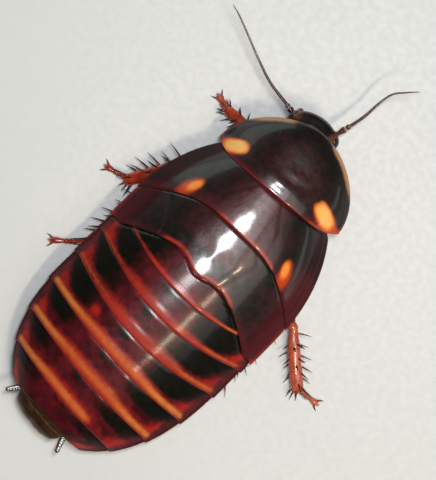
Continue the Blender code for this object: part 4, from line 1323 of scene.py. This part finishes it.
# Head, as in the source: height, half width, half depth and the y of the middle of each level
HEAD_LEVELS = (
    (0.55, 0.6, 0.4, -24.85), (0.8, 1.1, 0.65, -24.9), (1.3, 1.6, 0.95, -25.05), (2.0, 2.1, 1.25, -25.3),
    (2.8, 2.6, 1.55, -25.55), (3.4, 2.8, 1.7, -25.7), (3.9, 2.72, 1.6, -25.75), (4.3, 2.3, 1.25, -25.75),
    (4.55, 1.5, 0.75, -25.65),
)
HEAD_CENTRE = (1.4, -25.6)
HEAD_YAW = math.radians(10.0)
SOCKET_ANGLE = math.radians(41.0)
SOCKET_HEIGHT = 3.05
OCELLUS = (1.42, -27.12, 3.62)
# The eye: angle from the side of the head towards the face, height of its middle, half sizes and bulge
EYE_ANGLE = math.radians(12.0)
EYE_HALF_ANGLE = math.radians(27.0)
EYE_HEIGHT = 3.25
EYE_HALF_HEIGHT = 0.98
EYE_BULGE = 0.22


def head_points(points):
    """Points of the straight head, turned to the left and set at the front of the body."""
    points = np.asarray(points, dtype=float)
    x, y = points[..., 0], points[..., 1] - HEAD_CENTRE[1]
    cosine, sine = math.cos(HEAD_YAW), math.sin(HEAD_YAW)
    return np.stack((HEAD_CENTRE[0] + x * cosine - y * sine, HEAD_CENTRE[1] + x * sine + y * cosine,
                     points[..., 2]), axis=-1)


BALL_ROWS = 18
BALL_AROUND = 24
# The angle that a ball's first and last ring keep from its poles
BALL_POLE = 0.08


def ball(centre, size):
    """Rings of an egg shape in the straight head's frame."""
    polar = np.linspace(BALL_POLE, math.pi - BALL_POLE, BALL_ROWS)
    angle = circle(BALL_AROUND)
    x = size[0] * np.sin(polar)[:, None] * np.cos(angle)
    y = size[1] * np.sin(polar)[:, None] * np.sin(angle)
    z = size[2] * np.cos(polar)[:, None] * np.ones_like(angle)
    return np.stack((centre[0] + x, centre[1] + y, centre[2] - z), axis=-1)


def near(points, centre, size):
    """1 at centre, easing to 0 at size away from it."""
    return smooth(1.0 - np.linalg.norm(points - np.asarray(centre), axis=-1) / size)


def head_surface(angle, z, lift):
    """Points of the straight head's left side, lift off it; angle runs from the side towards the face."""
    width, depth, middle = columns_at(z, HEAD_LEVELS)
    slope = (columns_at(z + 0.05, HEAD_LEVELS)[0] - columns_at(z - 0.05, HEAD_LEVELS)[0]) / 0.1
    normal = unit(np.stack((depth * np.cos(angle), -width * np.sin(angle), -slope * depth), axis=-1))
    base = np.stack((width * np.cos(angle), middle - depth * np.sin(angle), z + 0.0 * angle), axis=-1)
    return base + normal * np.asarray(lift)[..., None]


def mirrored(points, side):
    return points * np.array((side, 1.0, 1.0))


def head_relief(x, z):
    """How far the face stands out: a domed front, a Y-shaped seam, hollow cheeks and a sunk clypeus."""
    side = np.abs(x)
    stem = bell(side, 0.0, 0.05) * smooth((z - 3.5) / 0.2)
    branch = bell(side, (3.55 - z) * 2.1, 0.12) * smooth((z - 2.9) / 0.15) * smooth((3.65 - z) / 0.15)
    seam = bell(z - 1.75, 0.1 * np.cos(x * 2.2), 0.055)
    dome = 0.09 * hill(x, z, (0.0, 2.6), 1.1, 0.7)
    cheek = 0.07 * hill(side, z, (1.9, 1.95), 0.35, 0.45)
    return dome - 0.035 * stem - 0.03 * branch - 0.06 * seam - cheek - 0.03 * smooth((1.7 - z) / 0.1)


def make_head():
    rows, around = 110, 150
    z = np.linspace(HEAD_LEVELS[0][0], HEAD_LEVELS[-1][0], rows)
    width, depth, middle = columns_at(z, HEAD_LEVELS)
    angle = circle(around)
    x = width[:, None] * np.cos(angle)
    face = smooth(-np.sin(angle) / 0.35)
    out = head_relief(x, z[:, None]) * face
    rings = np.stack((x + out * np.cos(angle), middle[:, None] + (depth[:, None] + out) * np.sin(angle),
                      z[:, None] * np.ones(around)), axis=-1)
    crown = []
    for turn in CROWN_TURNS:
        top = rings[-1].copy()
        centre = top.mean(axis=0)
        top = centre + (top - centre) * math.cos(turn * math.pi / 2)
        top[:, 2] += CROWN_RISE * math.sin(turn * math.pi / 2)
        crown.append(top)
    rings = np.concatenate((rings, np.array(crown)))
    brown = 0.85 * smooth((1.95 - rings[..., 2]) / 0.5)
    pale = np.zeros(rings.shape[:2])
    form = Form("brown", "pale", "dark")
    for side in (-1.0, 1.0):
        socket = mirrored(head_surface(SOCKET_ANGLE, SOCKET_HEIGHT, 0.0), side)
        upper = mirrored(head_surface(math.radians(18.0), 4.3, 0.0), side)
        brown = np.maximum(brown, near(rings, socket, 1.0))
        brown = np.maximum(brown, 0.85 * near(rings, upper, 1.1))
        pale = np.maximum(pale, near(rings, mirrored(np.array(OCELLUS), side), 0.3) * 1.5)
        form.rings(head_points(ball(socket, (0.47, 0.36, 0.47))), brown=0.9)
        bulb = ball(socket + (side * 0.1, -0.12, 0.0), (0.34, 0.3, 0.34))
        form.rings(head_points(bulb), brown=1.0, pale=0.25)
        jaw = ball((side * 0.98, -25.4, 0.98), (0.46, 0.6, 0.52))
        form.rings(head_points(jaw), brown=0.9, dark=smooth((0.95 - jaw[..., 2]) / 0.3))
    form.rings(head_points(rings), brown=brown, pale=pale)
    form.rings(head_points(ball((0.0, -25.98, 1.5), (0.98, 0.3, 0.36))), brown=0.95, pale=0.3)
    lip = ball((0.0, -25.88, 0.98), (0.74, 0.27, 0.48))
    lip[..., 2] += 0.14 * bell(lip[..., 0], 0.0, 0.18) * smooth((0.9 - lip[..., 2]) / 0.3)
    form.rings(head_points(lip), brown=1.0, pale=0.35)
    for k in range(12):
        place = np.array((-0.66 + 0.12 * k, -26.2 + 0.12 * abs(k - 5.5) / 5.5, 1.45 if k % 2 else 1.0))
        bristle = spine_rings(place, (0.25 * (k - 5.5) / 5.5, -0.9, -0.6), 0.3, 0.014, rows=5)
        form.rings(head_points(bristle), brown=1.0)
    form.make("head_shell", "head", "shell_black", "head")
    make_eye("eye_left", 1.0)
    make_eye("eye_right", -1.0)


def make_eye(name, side):
    """A kidney-shaped eye on the side of the head, notched beside the feeler's socket."""
    turn = circle(80)
    rings = []
    for reach, sunk in [(r, 0.0) for r in np.linspace(0.05, 1.0, 30)] + [(0.98, 0.16), (0.9, 0.32)]:
        across, rise = reach * np.cos(turn), reach * np.sin(turn)
        notch = 0.36 * bell(rise, -0.2, 0.42) * np.clip(across, 0.0, 1.0)
        angle = EYE_ANGLE + EYE_HALF_ANGLE * (across - notch)
        z = EYE_HEIGHT + EYE_HALF_HEIGHT * rise
        lift = EYE_BULGE * (1.0 - reach**2.4) ** 0.6 - 0.02 - sunk
        rings.append(head_surface(angle, z, lift + 0.0 * angle))
    form = Form()
    form.rings(head_points(mirrored(np.array(rings), side)))
    form.make(f"{name}_facets", "eye", "eye_black", name)


# Feelers, as in the source
FEELERS = {
    "left": (
        (4.3, -25.75, 3.2), (5.7, -26.0, 3.3), (7.95, -26.35, 3.7), (10.4, -27.2, 4.2),
        (12.9, -28.25, 4.7), (14.9, -29.05, 5.2), (16.1, -29.4, 5.5),
    ),
    "right": (
        (-0.68, -27.6, 3.2), (-1.1, -29.2, 3.4), (-1.4, -30.7, 3.6), (-1.55, -32.6, 4.0),
        (-1.9, -34.0, 4.6), (-2.75, -35.0, 5.3), (-3.7, -35.95, 6.1),
    ),
}
FEELER_JOINTS = 72
JOINT_ROWS = 6
BASE_ROWS = 60
FEELER_AROUND = 12
# Share of the course where the root starts, inside the head, and where the whip starts
ROOT_START = -0.045
WHIP_START = 0.125
# Radius along the whip, and along the two first joints
FEELER_WHIP = ((0.0, 0.19), (0.15, 0.17), (0.5, 0.12), (0.8, 0.09), (1.0, 0.04))
FEELER_BASE = (
    (ROOT_START, 0.16), (-0.01, 0.24), (0.03, 0.33), (0.058, 0.32), (0.07, 0.22),
    (0.078, 0.25), (0.095, 0.28), (0.11, 0.27), (0.12, 0.19), (WHIP_START, 0.19),
)


def make_feelers():
    """A thick first joint, a short second one and a whip of many small rings."""
    for side, path in FEELERS.items():
        t = np.linspace(WHIP_START, 1.0, FEELER_JOINTS * JOINT_ROWS)
        along_whip = (t - WHIP_START) / (1.0 - WHIP_START)
        beat = (along_whip ** 0.85 * FEELER_JOINTS) % 1.0
        size = through(along_whip, FEELER_WHIP)
        ringed = size * (0.9 + 0.12 * smooth(beat / 0.75) - 0.1 * smooth((beat - 0.82) / 0.18))
        base_t = np.linspace(ROOT_START, WHIP_START, BASE_ROWS)
        base = through(base_t, FEELER_BASE)
        t = np.concatenate((base_t, t))
        size = np.concatenate((base, ringed))
        grey = np.concatenate((np.zeros(BASE_ROWS), smooth((along_whip - 0.25) / 0.3)))
        dark = np.concatenate((np.zeros(BASE_ROWS), 0.55 * smooth((0.5 - along_whip) / 0.5) * (beat > 0.7)))
        dark = dark + (0.9 if side == "left" else 0.45) * bell(t, 0.04, 0.03)
        pale = 0.9 * bell(t, 0.068, 0.008) + 0.6 * bell(t, 0.12, 0.006)
        centre = curve_points(path, np.clip(t, 0.0, 1.0))
        start = unit(np.array(path[1]) - np.array(path[0]))
        centre[t < 0.0] += start * (t[t < 0.0] * 16.0)[:, None]
        across, up = path_frame(centre)[1:]
        angle = circle(FEELER_AROUND)
        rings = centre[:, None] + size[:, None, None] * (across[:, None] * np.cos(angle)[:, None]
                                                         + up[:, None] * np.sin(angle)[:, None])
        form = Form("grey", "dark", "pale")
        form.rings(rings, grey=grey[:, None], dark=dark[:, None], pale=pale[:, None])
        form.make(f"antenna_{side}_rings", "feeler", "feeler_brown", f"antenna_{side}")


# Palps: course and radius of the long pair, then of the small inner pair
PALP_PATH = ((1.5, -24.2, 0.95), (2.1, -24.8, 0.6), (2.25, -25.8, 0.42), (1.8, -26.6, 0.36))
PALP_SIZE = (
    (0.0, 0.13), (0.06, 0.19), (0.26, 0.2), (0.3, 0.13), (0.36, 0.18),
    (0.6, 0.21), (0.64, 0.12), (0.72, 0.17), (0.9, 0.25), (1.0, 0.18),
)
INNER_PATH = ((0.45, -25.0, 0.75), (0.72, -25.6, 0.5), (0.6, -26.2, 0.4))
INNER_SIZE = ((0.0, 0.12), (0.3, 0.16), (0.36, 0.11), (0.5, 0.15), (0.62, 0.1), (0.85, 0.17), (1.0, 0.12))


def make_palps():
    for side, name in ((1.0, "palp_left"), (-1.0, "palp_right")):
        path = head_points([(side * x, y, z) for x, y, z in PALP_PATH])
        inner = head_points([(side * x, y, z) for x, y, z in INNER_PATH])
        form = Form("dark", "pale")
        rings = limb(path, PALP_SIZE, PALP_SIZE, 60, 16, floor=0.0)
        rows = row_shares(rings)
        form.rings(rings, pale=0.5 + 0.5 * bell(rows, 0.3, 0.03) + 0.5 * bell(rows, 0.64, 0.03))
        form.rings(limb(inner, INNER_SIZE, INNER_SIZE, 30, 14, floor=0.0), pale=0.7)
        form.make(f"{name}_joints", "leg", "leg_red", name)


# Tail plate: share of its length, half width, top and bottom
TAIL_STATIONS = (
    (0.0, 3.2, 4.5, 2.0), (0.4, 3.15, 4.25, 2.1), (0.7, 2.9, 3.9, 2.3),
    (0.9, 2.35, 3.5, 2.5), (1.0, 1.6, 3.2, 2.65),
)
TAIL_PLATE_END = 15.75
CERCUS = ((3.3, 14.0, 2.95), (4.1, 15.55, 3.2))


def tail_lobe(form, end, top_share, bottom_share, droop, **marks):
    """A thin plate between two shares of the tail's height, drooping at its sides.

    Marks are functions of the share of its length.
    """
    base = SEGMENT_HINDS[-1] - 0.5
    t = 1.0 - (1.0 - np.linspace(0.0, 1.0, 48)) ** 1.6
    width, high, low = (column[:, None] for column in columns_at(t, TAIL_STATIONS))
    angle = circle(90)
    x = -width * np.cos(angle)
    top, bottom = low + (high - low) * top_share, low + (high - low) * bottom_share
    z = (top + bottom) / 2 + np.sin(angle) * (top - bottom) / 2 - droop * (x / width) ** 2
    t = t[:, None]
    notch = 0.12 * bell(x, 0.0, 0.4) * smooth((t - 0.7) / 0.3)
    y = base + (end - base) * t - 0.12 * (x / 2.4) ** 2 - notch
    form.rings(bent(np.stack((x, y, z), axis=-1)), **{key: value(t) for key, value in marks.items()})


def make_tail():
    """The supra-anal plate over a lower lobe, and between them the two ringed cerci with their bristles."""
    form = Form("dark", "band", "red")
    tail_lobe(form, TAIL_PLATE_END, 1.0, 0.5, 0.35, dark=lambda t: 0.5 * bell(t, 0.72, 0.12),
              band=lambda t: 0.55 * bell(t, 0.42, 0.07), red=lambda t: smooth((t - 0.8) / 0.2))
    tail_lobe(form, TAIL_PLATE_END - 0.5, 0.42, 0.0, -0.2, red=lambda t: 0.8 + 0.0 * t)
    form.make("tail_plate", "tail", "tail_brown", "supra_anal_plate")
    for side, name in ((1.0, "cercus_left"), (-1.0, "cercus_right")):
        root, tip = bent(np.array([(side * x, y, z) for x, y, z in CERCUS]))
        size = [(0.0, 0.28)]
        for k in range(6):
            begin = k / 6
            size += [(begin + 0.03, 0.34 - 0.13 * begin), (begin + 0.1, 0.352 - 0.14 * begin)]
        size.append((1.0, 0.13))
        rings = limb((root, tip), size, [(t, 0.6 * half) for t, half in size], 72, 28, 3.2)
        rows = row_shares(rings)
        form = Form("dark", "band")
        form.rings(rings, band=0.6 * np.cos(rows * 6.0 * math.pi) ** 8)
        ahead = unit(tip - root)
        for k in range(14):
            turn = 2.4 * k
            place = root + (tip - root) * (0.3 + 0.66 * k / 14)
            away = np.array((math.cos(turn), math.sin(turn) * 0.4, math.sin(turn)))
            bristle = spine_rings(place + away * 0.2, away + ahead * 0.9, 0.24, 0.012, around=5, rows=4)
            form.rings(bristle, dark=0.9)
        form.make(f"{name}_rings", "cercus", "tail_brown", name)


# Underside of the thorax, as in the source: y, half width, top and bottom
THORAX_STATIONS = (
    (-24.0, 1.9, 4.7, 2.9), (-23.0, 2.9, 5.2, 2.5), (-21.0, 3.9, 5.7, 2.2), (-18.5, 4.6, 6.0, 2.1),
    (-15.0, 5.4, 6.5, 2.1), (-11.5, 6.0, 6.7, 2.1), (-8.4, 6.0, 6.6, 2.3),
)


def make_underside():
    rows, around = 110, 96
    y = np.linspace(THORAX_STATIONS[0][0], THORAX_STATIONS[-1][0], rows)
    width, high, low = columns_at(y, THORAX_STATIONS)
    angle = circle(around)
    across, rise = squared(angle, 0.8)
    x = width[:, None] * across
    z = (high + low)[:, None] / 2 + (high - low)[:, None] / 2 * rise
    folds = 0.1 * np.sin(y[:, None] * 2.6) ** 2 + 0.12 * bell(x, 0.0, 0.35)
    z = z + np.where(rise < 0.0, -folds, 0.0)
    bow = np.where(y > -9.0, FRONT_BOW / HALF_WIDTH, 0.0)[:, None] * np.abs(x)
    form = Form("pale", "dark")
    plates = np.cos((y[:, None] + 20.5) * math.pi / 6.1) ** 2 * smooth((3.2 - np.abs(x)) / 1.0)
    form.rings(bent(np.stack((x, y[:, None] - bow, z), axis=-1)), dark=0.7 * plates,
               pale=0.3 * smooth((np.abs(x) - 2.5) / 2.0))
    form.make("thorax_skin", "belly", "belly_red", "thorax_underside")


# The floor, a hair below the feet
FLOOR_GAP = 0.01
FLOOR_HALF = 400.0


def make_floor():
    mesh = bpy.data.meshes.new("floor")
    corners = [(x * FLOOR_HALF, y * FLOOR_HALF, -FLOOR_GAP) for x, y in ((-1, -1), (1, -1), (1, 1), (-1, 1))]
    mesh.from_pydata([tuple(c * MM for c in corner) for corner in corners], [], [(0, 1, 2, 3)])
    mesh.materials.append(MATERIALS["floor"])
    obj = bpy.data.objects.new("floor", mesh)
    show(obj)


MATERIALS = {"plate": plate_material(), "abdomen": abdomen_material(), "eye": eye_material()}
MATERIALS.update({key: shell_material(*looks) for key, looks in SHELLS.items()})

make_camera()
make_lamps()
make_floor()
make_plates()
make_abdomen()
make_legs()
make_head()
make_feelers()
make_palps()
make_tail()
make_underside()
